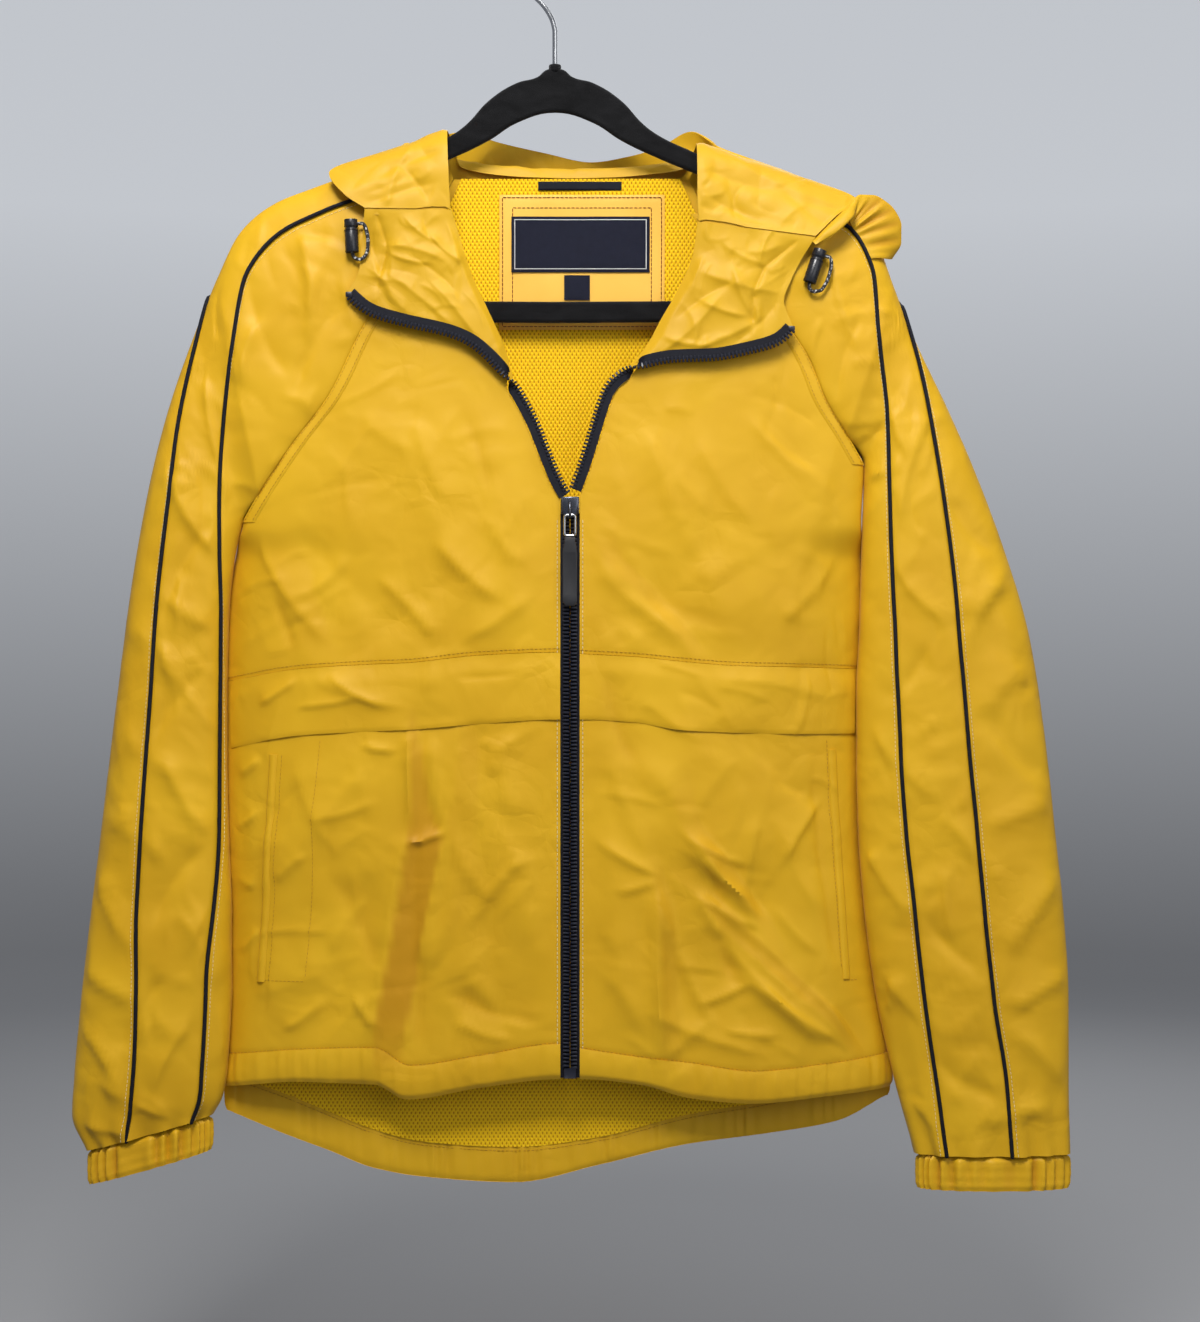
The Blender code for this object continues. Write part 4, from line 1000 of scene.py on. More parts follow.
@dataclass(frozen=True)
class Knit:
    """Golden warp-knit mesh with rows of small diamond holes, painted dark as painted shade; its light colour is
    partly its own gold and partly painted light, raised for light shining through the mesh.
    """

    name: str = "golden_mesh_lining"
    # Partly the mesh's own gold, partly raised as painted light for light shining through it.
    light: tuple[float, float, float] = (0.98, 0.60, 0.010)
    deep: tuple[float, float, float] = (0.52, 0.24, 0.004)
    pitch: float = 0.0029

    def make(self) -> bpy.types.Material:
        """Builds the material.

        Returns:
            The material.
        """
        shader = Shader(self.name)
        place = shader.place()
        x, _, z = shader.axes(place)
        turn = 2 * math.pi / self.pitch
        one = ((x + z * 0.62) * turn).apply("COSINE")
        two = ((x - z * 0.62) * turn).apply("COSINE")
        web = (one + two) * 0.25 + 0.5
        # Painted shade: the holes are painted dark, for the shaded cloth seen through them.
        painted_hole_shade = ((0.36 - web) * 7).clamped()
        cloud = shader.noise(11, place, 3)
        body = shader.mix(
            (cloud * 1.3 - 0.15).clamped(), tuple(0.82 * part for part in self.light), self.light
        )
        colour = shader.mix(painted_hole_shade, body, self.deep)
        normal = shader.bump(web, 0.0006, 0.8)
        return shader.finish(
            Base_Color=colour, Roughness=0.62, Normal=normal, Specular_IOR_Level=0.12
        )


@dataclass(frozen=True)
class Ribbed:
    """Woven tape, braid or label cloth, with fine ribs."""

    name: str
    light: tuple[float, float, float]
    deep: tuple[float, float, float]
    pitch: float = 0.0007
    turn: float = 0.0
    roughness: float = 0.6
    depth: float = 0.0002

    def make(self) -> bpy.types.Material:
        """Builds the material.

        Returns:
            The material.
        """
        shader = Shader(self.name)
        x, y, z = shader.axes(shader.place(turn=self.turn))
        turn = 2 * math.pi / self.pitch
        ribs = (z * turn).apply("SINE") * 0.5 + 0.5
        cross = ((x + y) * turn * 1.3).apply("SINE") * 0.5 + 0.5
        cloth = ribs * 0.65 + cross * 0.35
        cloud = shader.noise(260, None, 2)
        colour = shader.mix((cloth * 0.5 + cloud * 0.6 - 0.1).clamped(), self.deep, self.light)
        normal = shader.bump(cloth, self.depth, 0.8)
        return shader.finish(
            Base_Color=colour, Roughness=self.roughness, Normal=normal, Specular_IOR_Level=0.2
        )


@dataclass(frozen=True)
class Flecked:
    """Round black braid with light flecks."""

    name: str = "black_braid_with_flecks"
    light: tuple[float, float, float] = (0.5, 0.5, 0.48)
    deep: tuple[float, float, float] = (0.012, 0.013, 0.018)

    def make(self) -> bpy.types.Material:
        """Builds the material.

        Returns:
            The material.
        """
        shader = Shader(self.name)
        cells = shader.cracks(900, shader.place())
        flecks = ((shader.noise(620, None, 1) - 0.56) * 12).clamped()
        colour = shader.mix(flecks, self.deep, self.light)
        normal = shader.bump(cells, 0.0006, 0.7)
        return shader.finish(Base_Color=colour, Roughness=0.7, Normal=normal)


@dataclass(frozen=True)
class Moulded:
    """Moulded plastic or rubber, with a faint grain and a cloudy colour."""

    name: str
    light: tuple[float, float, float]
    deep: tuple[float, float, float]
    roughness: float = 0.36
    grain: float = 0.00004
    coat: float = 0.0

    def make(self) -> bpy.types.Material:
        """Builds the material.

        Returns:
            The material.
        """
        shader = Shader(self.name)
        cloud = shader.noise(380, None, 3)
        colour = shader.mix(cloud, self.deep, self.light)
        rough = cloud * 0.22 + (self.roughness - 0.11)
        normal = shader.bump(shader.noise(2400, None, 2), self.grain, 0.6)
        return shader.finish(
            Base_Color=colour, Roughness=rough, Normal=normal, Coat_Weight=self.coat
        )


@dataclass(frozen=True)
class Plated:
    """Bright plated metal, with fine rubbing and a few duller places."""

    name: str
    light: tuple[float, float, float]
    deep: tuple[float, float, float]
    roughness: float = 0.2
    brush: tuple[float, float, float] = (1, 1, 1)

    def make(self) -> bpy.types.Material:
        """Builds the material.

        Returns:
            The material.
        """
        shader = Shader(self.name)
        rub = shader.noise(700, shader.place(self.brush), 3)
        dull = shader.noise(90, None, 2)
        colour = shader.mix(dull, self.deep, self.light)
        rough = rub * 0.16 + dull * 0.12 + (self.roughness - 0.12)
        normal = shader.bump(rub, 0.00003, 0.5)
        return shader.finish(Base_Color=colour, Roughness=rough, Normal=normal, Metallic=1.0)


@dataclass(frozen=True)
class Flock:
    """Black velvet flock: a short soft pile that catches light at a slant."""

    name: str = "black_velvet_flock"
    light: tuple[float, float, float] = (0.011, 0.011, 0.012)
    deep: tuple[float, float, float] = (0.002, 0.002, 0.0023)

    def make(self) -> bpy.types.Material:
        """Builds the material.

        Returns:
            The material.
        """
        shader = Shader(self.name)
        pile = shader.noise(1900, None, 3, 0.7)
        brushed = shader.noise(42, shader.place((1, 1, 2.5), 20), 3, 0.6, 0.8)
        shade = (brushed * 1.4 - 0.2 + (pile - 0.5) * 0.6).clamped()
        colour = shader.mix(shade, self.deep, self.light)
        normal = shader.bump(pile, 0.0005, 0.8)
        return shader.finish(
            Base_Color=colour, Roughness=0.95, Normal=normal, Sheen_Weight=0.22,
            Sheen_Roughness=0.4, Specular_IOR_Level=0.15,
        )


@dataclass(frozen=True)
class Plaster:
    """The studio's pale floor and sweep, with a faint roller texture; it is painted darker towards the bottom as
    painted shade and given a painted glow that is brighter towards the top, as light from above would fall.
    """

    name: str = "studio_plaster"
    light: tuple[float, float, float] = (0.72, 0.73, 0.75)
    deep: tuple[float, float, float] = (0.30, 0.305, 0.315)
    painted_glow: tuple[float, float, float] = (0.30, 0.315, 0.33)

    def make(self) -> bpy.types.Material:
        """Builds the material.

        Returns:
            The material.
        """
        shader = Shader(self.name)
        cloud = shader.noise(3, None, 3)
        # Painted shade and painted glow: towards the bottom the sweep is painted darker and glows less, as if lit
        # from above.
        high = ((shader.axes()[2] + 1.0) / 1.5).clamped()
        return shader.finish(
            Base_Color=shader.mix(high, self.deep, self.light), Roughness=cloud * 0.1 + 0.8,
            Emission_Color=shader.mix(high, (0.02, 0.02, 0.02), self.painted_glow), Emission_Strength=1.0,
        )


SHELL = Nylon("yellow_shell_nylon", (0.72, 0.425, 0.012), (0.60, 0.325, 0.007))
FACING = Nylon("bright_facing_nylon", (0.66, 0.395, 0.012), (0.565, 0.312, 0.008))
PATCH = Nylon("pale_neck_patch", (0.90, 0.54, 0.09), (0.80, 0.44, 0.06), 0.0006, 0.5)
LINING = Knit()
NAVY_TAPE = Ribbed("navy_zip_tape", (0.008, 0.009, 0.018), (0.003, 0.0035, 0.007))
NAVY_PIPING = Ribbed(
    "navy_piping_cord", (0.008, 0.009, 0.018), (0.003, 0.0035, 0.007), 0.0006, 30, 0.6
)
NAVY_LABEL = Ribbed("navy_label_weave", (0.008, 0.010, 0.028), (0.004, 0.005, 0.014), 0.0005)
WHITE_WEFT = Ribbed("white_label_weft", (0.75, 0.74, 0.72), (0.55, 0.54, 0.53), 0.0005)
# Yellow thread, partly its own colour and partly darkened as painted shade of the stitch holes, so that rows of
# stitches read as dark dotted lines.
YELLOW_THREAD_PAINTED_SHADE = Ribbed(
    "yellow_thread_with_painted_shade", (0.60, 0.33, 0.02), (0.34, 0.16, 0.01), 0.0005, 45, 0.5
)
CREAM_THREAD = Ribbed(
    "cream_sewing_thread", (0.88, 0.80, 0.50), (0.70, 0.60, 0.30), 0.0005, 45, 0.5
)
RUST_THREAD = Ribbed(
    "rust_sewing_thread", (0.32, 0.09, 0.02), (0.18, 0.05, 0.01), 0.0005, 45, 0.5
)
CORD_BRAID = Flecked()
TEETH = Moulded("navy_moulded_teeth", (0.012, 0.014, 0.028), (0.006, 0.007, 0.014), 0.36)
LOCK_PLASTIC = Moulded("black_lock_plastic", (0.016, 0.017, 0.022), (0.008, 0.008, 0.011), 0.28)
TAB_RUBBER = Moulded("black_tab_rubber", (0.014, 0.014, 0.017), (0.006, 0.006, 0.008), 0.55, 0.0001)
SLIDER_METAL = Plated("dark_slider_metal", (0.13, 0.14, 0.17), (0.06, 0.065, 0.08), 0.24)
LINK_METAL = Plated("polished_link_metal", (0.72, 0.73, 0.75), (0.42, 0.43, 0.45), 0.18)
HOOK_STEEL = Plated("bright_hook_steel", (0.62, 0.64, 0.66), (0.48, 0.49, 0.51), 0.18, (1, 1, 0.05))
VELVET = Flock()
FLOOR = Plaster()

_made: dict[str, bpy.types.Material] = {}


def material_of(finish: object) -> bpy.types.Material:
    """The finish's material, made once."""
    if finish.name not in _made:
        _made[finish.name] = finish.make()
    return _made[finish.name]


# ---------------------------------------------------------------- making and declaring pieces


def new_object(name: str, mesh: bpy.types.Mesh, finish: object) -> bpy.types.Object:
    """Links a mesh into the scene, smooth but for its sharp edges.

    Args:
        name: the piece's name.
        mesh: its mesh, in metres.
        finish: its finish.

    Returns:
        The object.
    """
    mesh.shade_smooth()
    mesh.set_sharp_from_angle(angle=math.radians(50))
    mesh.materials.append(material_of(finish))
    piece = bpy.data.objects.new(name, mesh)
    bpy.context.scene.collection.objects.link(piece)
    return piece


def declare(
    piece: bpy.types.Object, nodes: Sequence[str] = (), body: str = GARMENT
) -> bpy.types.Object:
    """Says what a piece rides on and stands for.

    Args:
        piece: the piece.
        nodes: the CAD nodes it stands for.
        body: the body it moves with.

    Returns:
        The piece.
    """
    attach(piece, body)
    if nodes:
        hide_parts(*nodes)
    LOG.info("%s: %d faces", piece.name, len(piece.data.polygons) if piece.type == "MESH" else 0)
    return piece


def grid_faces(rows: int, across: int, around: bool, start: int, turned: bool) -> Array:
    """The quads of a grid of points, as rows of four indices."""
    r, c = np.meshgrid(np.arange(rows - 1), np.arange(across if around else across - 1), indexing="ij")
    d = (c + 1) % across
    quads = np.stack([r * across + c, r * across + d, (r + 1) * across + d, (r + 1) * across + c], -1)
    quads = quads.reshape(-1, 4) + start
    return quads[:, ::-1] if turned else quads


def shell(
    name: str, outer: Array, inner: Array, finish: object, around: bool = False,
    tone: Array | None = None,
) -> bpy.types.Object:
    """A closed thin wall between two grids of points.

    Args:
        name: the piece's name.
        outer: points in rows, in millimetres.
        inner: as many points behind them.
        finish: the finish.
        around: whether each row closes on itself.
        tone: how much deeper the cloth's colour is painted at each point, as painted shade.

    Returns:
        The object.
    """
    rows, across = outer.shape[:2]
    count = rows * across
    points = np.concatenate([outer.reshape(-1, 3), inner.reshape(-1, 3)]) * MM
    faces = [grid_faces(rows, across, around, 0, False), grid_faces(rows, across, around, count, True)]
    ring = list(range(across)) + ([0] if around else [])
    edges = [(ring, True), ([(rows - 1) * across + c for c in ring], False)]
    if not around:
        edges += [([r * across for r in range(rows)], False)]
        edges += [([r * across + across - 1 for r in range(rows)], True)]
    for line, turned in edges:
        a, b = np.array(line[:-1]), np.array(line[1:])
        quads = np.stack([a, b, b + count, a + count], -1)
        faces.append(quads[:, ::-1] if turned else quads)
    mesh = bpy.data.meshes.new(name)
    mesh.from_pydata(points.tolist(), [], np.concatenate(faces).tolist())
    mesh.update()
    shape = bmesh.new()
    shape.from_mesh(mesh)
    if shape.calc_volume(signed=True) < 0:
        bmesh.ops.reverse_faces(shape, faces=shape.faces[:])
        shape.to_mesh(mesh)
    shape.free()
    # The painted shade goes on the mesh as a point attribute, which the cloth's material reads.
    if tone is not None:
        values = np.tile(np.broadcast_to(tone, (rows, across)).reshape(-1), 2)
        mesh.attributes.new("tone", "FLOAT", "POINT").data.foreach_set("value", values)
    return new_object(name, mesh, finish)


def normals(grid: Array) -> Array:
    """Unit normals of a grid of points: down its rows crossed with along its columns."""
    normal = np.cross(np.gradient(grid, axis=0), np.gradient(grid, axis=1))
    return normal / np.maximum(np.linalg.norm(normal, axis=2, keepdims=True), 1e-9)


def sheet(
    piece: bpy.types.Object, width: float, length: float, area: float
) -> bpy.types.Object:
    """Works out the area of a sheet of cloth's cut, which is not kept, and gives the piece back.

    Args:
        piece: the piece.
        width: the cut's width, in millimetres.
        length: the cut's length.
        area: the share of width times length that the cut takes.

    Returns:
        The piece.
    """
    flat = (width * MM, length * MM)
    area * flat[0] * flat[1]
    return piece


def tube_mesh(name: str, path: Array, radius: float, finish: object, sides: int = 12) -> bpy.types.Object:
    """A round cord along a path, with rounded ends.

    Args:
        name: the piece's name.
        path: points along its middle, in millimetres.
        radius: its radius.
        finish: the finish.
        sides: points round it.

    Returns:
        The object.
    """
    along = np.gradient(path, axis=0)
    along /= np.linalg.norm(along, axis=1, keepdims=True)
    across = np.cross(along, (0.0, 1.0, 0.0))
    across /= np.maximum(np.linalg.norm(across, axis=1, keepdims=True), 1e-9)
    up = np.cross(across, along)
    angles = np.linspace(0, 2 * np.pi, sides, endpoint=False)
    ring = across[:, None] * np.cos(angles)[:, None] + up[:, None] * np.sin(angles)[:, None]
    caps = np.array([0.02, 0.6, 0.9])
    grids = [path[:1, None] - along[:1, None] * radius * math.sqrt(1 - c * c) + ring[:1] * radius * c for c in caps]
    grids.append(path[:, None] + ring * radius)
    grids += [
        path[-1:, None] + along[-1:, None] * radius * math.sqrt(1 - c * c) + ring[-1:] * radius * c
        for c in caps[::-1]
    ]
    outer = np.concatenate(grids)
    rows = len(outer)
    points = outer.reshape(-1, 3) * MM
    faces = grid_faces(rows, sides, True, 0, False).tolist()
    faces += [list(range(sides))[::-1], [(rows - 1) * sides + c for c in range(sides)]]
    mesh = bpy.data.meshes.new(name)
    mesh.from_pydata(points.tolist(), [], faces)
    mesh.update()
    shape = bmesh.new()
    shape.from_mesh(mesh)
    bmesh.ops.recalc_face_normals(shape, faces=shape.faces[:])
    if shape.calc_volume(signed=True) < 0:
        bmesh.ops.reverse_faces(shape, faces=shape.faces[:])
    shape.to_mesh(mesh)
    shape.free()
    return new_object(name, mesh, finish)


@dataclass
class Stitching:
    """Rows of stitches, gathered into one piece of thread."""

    name: str
    finish: object
    pitch: float = 2.9
    long: float = 2.1
    radius: float = 0.24

    def __post_init__(self) -> None:
        """Starts with no stitches."""
        self.points: list[Array] = []
        self.faces: list[Array] = []
        self.count = 0

    def sew(self, path: Array, out: Array) -> None:
        """Sews along a path.

        Args:
            path: points on the cloth's surface, in millimetres.
            out: the way out of the cloth at each.
        """
        run = np.concatenate([[0], np.cumsum(np.linalg.norm(np.diff(path, axis=0), axis=1))])
        count = int(run[-1] / self.pitch)
        if count < 1:
            return
        middle = (np.arange(count) + 0.5) * run[-1] / count

        def at(place: Array, values: Array) -> Array:
            return np.stack([np.interp(place, run, column) for column in values.T], -1)

        start, end = at(middle - self.long / 2, path), at(middle + self.long / 2, path)
        centre, lift = at(middle, path), at(middle, out)
        lift /= np.linalg.norm(lift, axis=1, keepdims=True)
        along = end - start
        along /= np.maximum(np.linalg.norm(along, axis=1, keepdims=True), 1e-9)
        aside = np.cross(along, lift)
        r = self.radius
        rings = []
        for share, height, size in ((-0.42, 0.0, 0.75), (0.0, 0.12, 1.0), (0.42, 0.0, 0.75)):
            base = centre + along * share * self.long + lift * (height + 0.04)
            for turn_aside, turn_up in ((1, 0), (0, 1), (-1, 0), (0, -1)):
                rings.append(base + (aside * turn_aside + lift * turn_up) * r * size)
        tips = [start - lift * 0.2, end - lift * 0.2]
        block = np.stack(rings + tips, axis=1)
        faces = []
        for ring in (0, 4):
            for k in range(4):
                n = (k + 1) % 4
                faces.append((ring + k, ring + n, ring + 4 + n, ring + 4 + k))
        for k in range(4):
            n = (k + 1) % 4
            faces.append((12, k, n, n))
            faces.append((13, 8 + n, 8 + k, 8 + k))
        offsets = np.arange(count)[:, None, None] * 14 + self.count
        self.points.append(block.reshape(-1, 3))
        self.faces.append((np.array(faces)[None] + offsets).reshape(-1, 4))
        self.count += count * 14

    def make(self, slot: str) -> bpy.types.Object:
        """Makes the piece.

        Args:
            slot: not used.

        Returns:
            The piece.
        """
        points = np.concatenate(self.points) * MM
        faces = [
            face[:3] if face[2] == face[3] else face for face in np.concatenate(self.faces).tolist()
        ]
        mesh = bpy.data.meshes.new(self.name)
        mesh.from_pydata(points.tolist(), [], faces)
        mesh.update()
        shape = bmesh.new()
        shape.from_mesh(mesh)
        bmesh.ops.recalc_face_normals(shape, faces=shape.faces[:])
        shape.to_mesh(mesh)
        shape.free()
        return declare(new_object(self.name, mesh, self.finish))


# ---------------------------------------------------------------- the body's surface

BODY_AT = by_key(BODY, BODY_COLUMNS, "z")
LINE_AT = by_key(FRONT_LINES, FRONT_LINES_COLUMNS, "x")
TAIL_AT = by_key(TAIL, TAIL_COLUMNS, "x")
SLEEVE_AT = {side: by_row(rows, SLEEVE_COLUMNS) for side, rows in SLEEVE.items()}
HOOD_AT = by_row(HOOD, HOOD_COLUMNS)
HOOD_RUN_AT = by_row(HOOD_RUN, HOOD_RUN_COLUMNS)


def body_point(x: Array, z: Array, out: Array | float = 0.0, front: bool = True) -> Array:
    """Points of the body's front or back, moved out of it.

    Args:
        x: the places across.
        z: the places up.
        out: how far each is moved out.
        front: whether they lie on the front.

    Returns:
        The points.
    """
    x, z = np.broadcast_arrays(np.asarray(x, float), np.asarray(z, float))
    edge = np.where(x > CENTRE_X, BODY_AT["left_x"](z), BODY_AT["right_x"](z))
    half = edge - CENTRE_X
    share = (x - CENTRE_X) / half
    depth = BODY_AT["front" if front else "back"](z) + out
    depth = SEAM / 2 + depth * rounding(share, 2.6)
    tuck = 13.0 * fade((-400 - z) / 25) * np.clip(np.abs(share), 0, 1) ** 6
    y = (-depth if front else depth) + tuck
    return np.stack([x + np.sign(half) * out * share, y, z], axis=-1)


def opening_x(side: Side, z: Array) -> Array:
    """The x of the front's free edge, beside the zip or along the lapel's fold."""
    turn = FOLD_POINT[side]
    path = np.array(OPENING[side][: turn + 1] + LAPEL_FOLD[side][1:], float)
    line = Smooth(path[:, 1], path[:, 0])
    tape = TAPE_WIDTH * np.clip(1 - (z - path[turn, 1]) / TAPE_WIDTH / 2, 0, 1)
    above = line(z) + side.sign * (tape + SEAM)
    closed = CENTRE_X + side.sign * (TAPE_WIDTH + SEAM)
    return closed + (above - closed) * fade((z - path[0, 1] + 4) / 8)


@dataclass
class Torso:
    """The fronts, back, mesh lining, storm flaps, welts and hems."""

    columns: int = 96
    fine: int = 3
    hem_thick: float = 2.6
    flap_thick: float = 1.2
    flap_out: float = 0.6
    gathers: int = 46
    welt_width: float = 5.0
    felled: float = 8.6

    def shares(self, count: int) -> Array:
        """Shares across a front, closer together where it turns in at its side."""
        return np.sin(np.linspace(0, 1, count) * np.pi / 2) ** 0.9

    def front_height(self, side: Side, x: Array, z: Array) -> Array:
        """The creases of a front, that fade beside the zip and the side seam."""
        edge = BODY_AT[side.value + "_x"](z)
        from_zip = fade((np.abs(x - opening_x(side, z)) - 3) / 22)
        from_side = fade(np.abs(edge - x) / 26)
        creases = (*BROAD[side], *self.small_creases[side])
        deeper = 1.3 + (0.4 if side is Side.RIGHT else 0.1) * fade((-400 - z) / 30)
        height = deeper * relief(FRONT_CREASES[side], x, z) + 1.1 * relief(creases, x, z)
        return (height + pressed(PLEATS[side], x, z)) * from_zip * from_side

    def tone(self, side: Side, x: Array, z: Array) -> Array:
        """Painted shade on a front: how much deeper its colour is painted in its troughs and along its pressed
        folds.
        """
        deep = 0.3 * np.clip(-relief(FRONT_CREASES[side], x, z) / 1.5, 0, 1)
        for place, rows in enumerate(PLEATS[side]):
            at = by_key(rows, PLEAT_COLUMNS, "z")
            left, right = at["left_x"](z), at["right_x"](z)
            inside = fade((x - left + 1) / 3.4) * fade((right - x + 1) / 3.4)
            strength = 0.34 if place == 0 and side is Side.RIGHT else 0.12
            deep = np.maximum(deep, inside * strength * at["rise"](z))
        return deep

    def __post_init__(self) -> None:
        """Strews the small creases."""
        self.small_creases = {
            Side.RIGHT: crinkles(3, 70, (-215, -755), (0, -230), 55, 55),
            Side.LEFT: crinkles(4, 80, (15, -755), (205, -290), 125, 55),
        }
        self.back_small = crinkles(5, 120, (-215, -800), (215, -200), 80, 70, (25, 80))
        self.thread = Stitching("front_stitches", YELLOW_THREAD_PAINTED_SHADE)
        self.zip_thread = Stitching("zip_stitches", CREAM_THREAD, 3.0, 2.2, 0.3)

    def front(self, side: Side, x: Array, z: Array, out: Array | float = 0.0) -> Array:
        """Points of a creased front."""
        return body_point(x, z, out + self.front_height(side, x, z))

    def place(self, side: Side, share: Array, z: Array) -> Array:
        """The x at a share of the way from the front's free edge to its side seam."""
        start, end = opening_x(side, z), BODY_AT[side.value + "_x"](z)
        return start + share * (end - start)

    def line(self, side: Side, name: str, share: Array) -> Array:
        """The height of one of the front's lines."""
        start = CENTRE_X + side.sign * (TAPE_WIDTH + SEAM)
        end = float(BODY_AT[side.value + "_x"](-650.0))
        return LINE_AT[name](start + share * (end - start))

    def upper(self, side: Side) -> None:
        """Makes the chest and sews its raglan seam."""
        rows = np.array(SLEEVE[side], float)[: UNDERARM_ROW + 1]
        seam = Smooth(rows[:, 1], rows[:, 0] - side.sign * 0.2)
        share = self.shares(self.columns)[None]
        top, low = rows[0, 1] - SEAM, rows[-1, 1]
        z = np.linspace(top, low, 78)[:, None] + 0 * share
        x = opening_x(side, z) + share * (seam(z) - opening_x(side, z))
        down = np.linspace(0, 1, 40)[1:, None]
        below = low + down * (self.line(side, "yoke", share) + 0.15 - low)
        x = np.concatenate([x, self.place(side, share, below)])
        z = np.concatenate([z, below])
        to_yoke = z - self.line(side, "yoke", share)
        out = -0.4 * np.exp(-((to_yoke / 1.1) ** 2))
        name = "front_upper_" + side.value
        faces = [self.front(side, x, z, lift) for lift in (out, out - CLOTH)]
        piece = shell(name, *faces, SHELL, tone=self.tone(side, x, z))
        declare(piece, [name])
        sheet(piece, 235, 330, 0.62)
        z = np.linspace(top - 1, low + 1, 120)[:, None]
        aside = np.linspace(-0.5, self.felled, 9)[None]
        lift = 0.35 + 0.55 * (1 - np.abs(2 * aside / self.felled - 1).clip(0, 1) ** 5) + 0 * z
        faces = [self.front(side, seam(z) - side.sign * aside, z, out) for out in (lift, lift - 0.4)]
        name = "raglan_seam_" + side.value
        sheet(declare(shell(name, *faces, SHELL)), 10, 250, 0.8)
        for aside in (1.5, self.felled - 1.4):
            along = np.linspace(top - 4, low + 2, 160)
            self.sew_front(side, seam(along) - side.sign * aside, along, 0.95)
        shares = np.linspace(0, 0.99, 160)
        height = self.line(side, "yoke", shares) + 2.4
        self.sew_front(side, self.place(side, shares, height), height, 0.1)

    def sew_front(self, side: Side, x: Array, z: Array, out: float, cream: bool = False) -> None:
        """Sews along places of a front.

        Args:
            side: which front.
            x: the places across.
            z: the places up.
            out: how far the thread lies out of the form.
            cream: whether it is the zip's cream thread.
        """
        on, off = self.front(side, x, z, out), self.front(side, x, z, out + 1)
        (self.zip_thread if cream else self.thread).sew(on, off - on)

    def band(
        self, name: str, side: Side, lines: tuple[str, str], steps: int,
        outs: Callable[[Array, Array, Array], tuple[Array, Array]], reach: float = 1.0,
    ) -> bpy.types.Object:
        """A front piece between two of the front's lines.

        Args:
            name: the piece's name.
            side: which front.
            lines: its upper and lower line.
            steps: its rows.
            outs: gives how far its two faces lie out, from the share down, x and share across.
            reach: how far it runs to the side seam, as a share.

        Returns:
            The piece.
        """
        share = reach * self.shares(self.columns * 2 if "hem" in name else self.columns)[None]
        top, low = (self.line(side, key, share) for key in lines)
        down = np.linspace(0, 1, steps)[:, None]
        z = top - 0.15 + down * (low - top)
        x = self.place(side, share, z)
        outer, inner = outs(down + 0 * share, x, share + 0 * down)
        faces = [self.front(side, x, z, lift) for lift in (outer, inner)]
        return shell(name, *faces, SHELL, tone=self.tone(side, x, z))

    def lower(self, side: Side) -> None:
        """Makes the lower front, its storm flap, its hem band and the pocket's welt."""

        def panel(down: Array, x: Array, share: Array) -> tuple[Array, Array]:
            dip = -0.5 * np.exp(-(((1 - down) * 268 / 1.4) ** 2))
            return dip, dip - CLOTH

        def flap(down: Array, x: Array, share: Array) -> tuple[Array, Array]:
            wave = 0.5 * np.sin(x * 0.071 + 1.3) + 0.35 * np.sin(x * 0.163 + 0.4)
            outer = self.flap_out + self.flap_thick * fade(down * 3.5) + wave * down**2 - 0.5 * down**3
            pinch = 0.45 * fade((down - 0.955) / 0.045)
            return outer - pinch, outer - self.flap_thick + pinch * 0.9

        def hem(down: Array, x: Array, share: Array) -> tuple[Array, Array]:
            run = x * 0.52 + 1.4 * np.sin(x * 0.11) + side.sign
            pucker = 0.55 * np.sin(run) + 0.4 * np.sin(run * 0.47 + 2) + 0.25 * np.sin(run * 1.9)
            near_top = np.exp(-down * 2.2)
            near_edge = fade(down * 3)
            bulge = 1.1 * np.sin(np.pi * np.clip(down, 0, 1)) ** 0.8
            outer = 0.2 + bulge + pucker * (0.55 * near_top + 0.5 * near_edge * (1 - 0.6 * down))
            turn_in = fade((down - 0.8) / 0.2) ** 2
            outer = outer - turn_in * 1.5
            inner = outer - CLOTH * 2 - (1 - turn_in) * 0.7 - 0.2
            return outer, inner

        value = side.value
        piece = self.band("front_lower_" + value, side, ("yoke", "stitch"), 118, panel)
        declare(piece, [piece.name.split(".")[0]])
        sheet(piece, 232, 275, 1.0)
        piece = self.band("storm_flap_" + value, side, ("yoke", "flap"), 26, flap, 0.975)
        declare(piece, [piece.name.split(".")[0]])
        sheet(piece, 232, 48, 1.0)
        piece = self.band("front_hem_" + value, side, ("stitch", "edge"), 20, hem)
        declare(piece, [piece.name.split(".")[0]])
        sheet(piece, 236, 27, 1.0)
        shares = np.linspace(0.0, 0.985, 170)
        height = self.line(side, "stitch", shares) + 0.6
        self.sew_front(side, self.place(side, shares, height), height, 0.25)
        self.pocket(side)
        along = np.linspace(ZIP_END_Z + 4, -398, 330)
        self.sew_front(side, opening_x(side, along) + side.sign * 2.0, along, 0.15, cream=True)

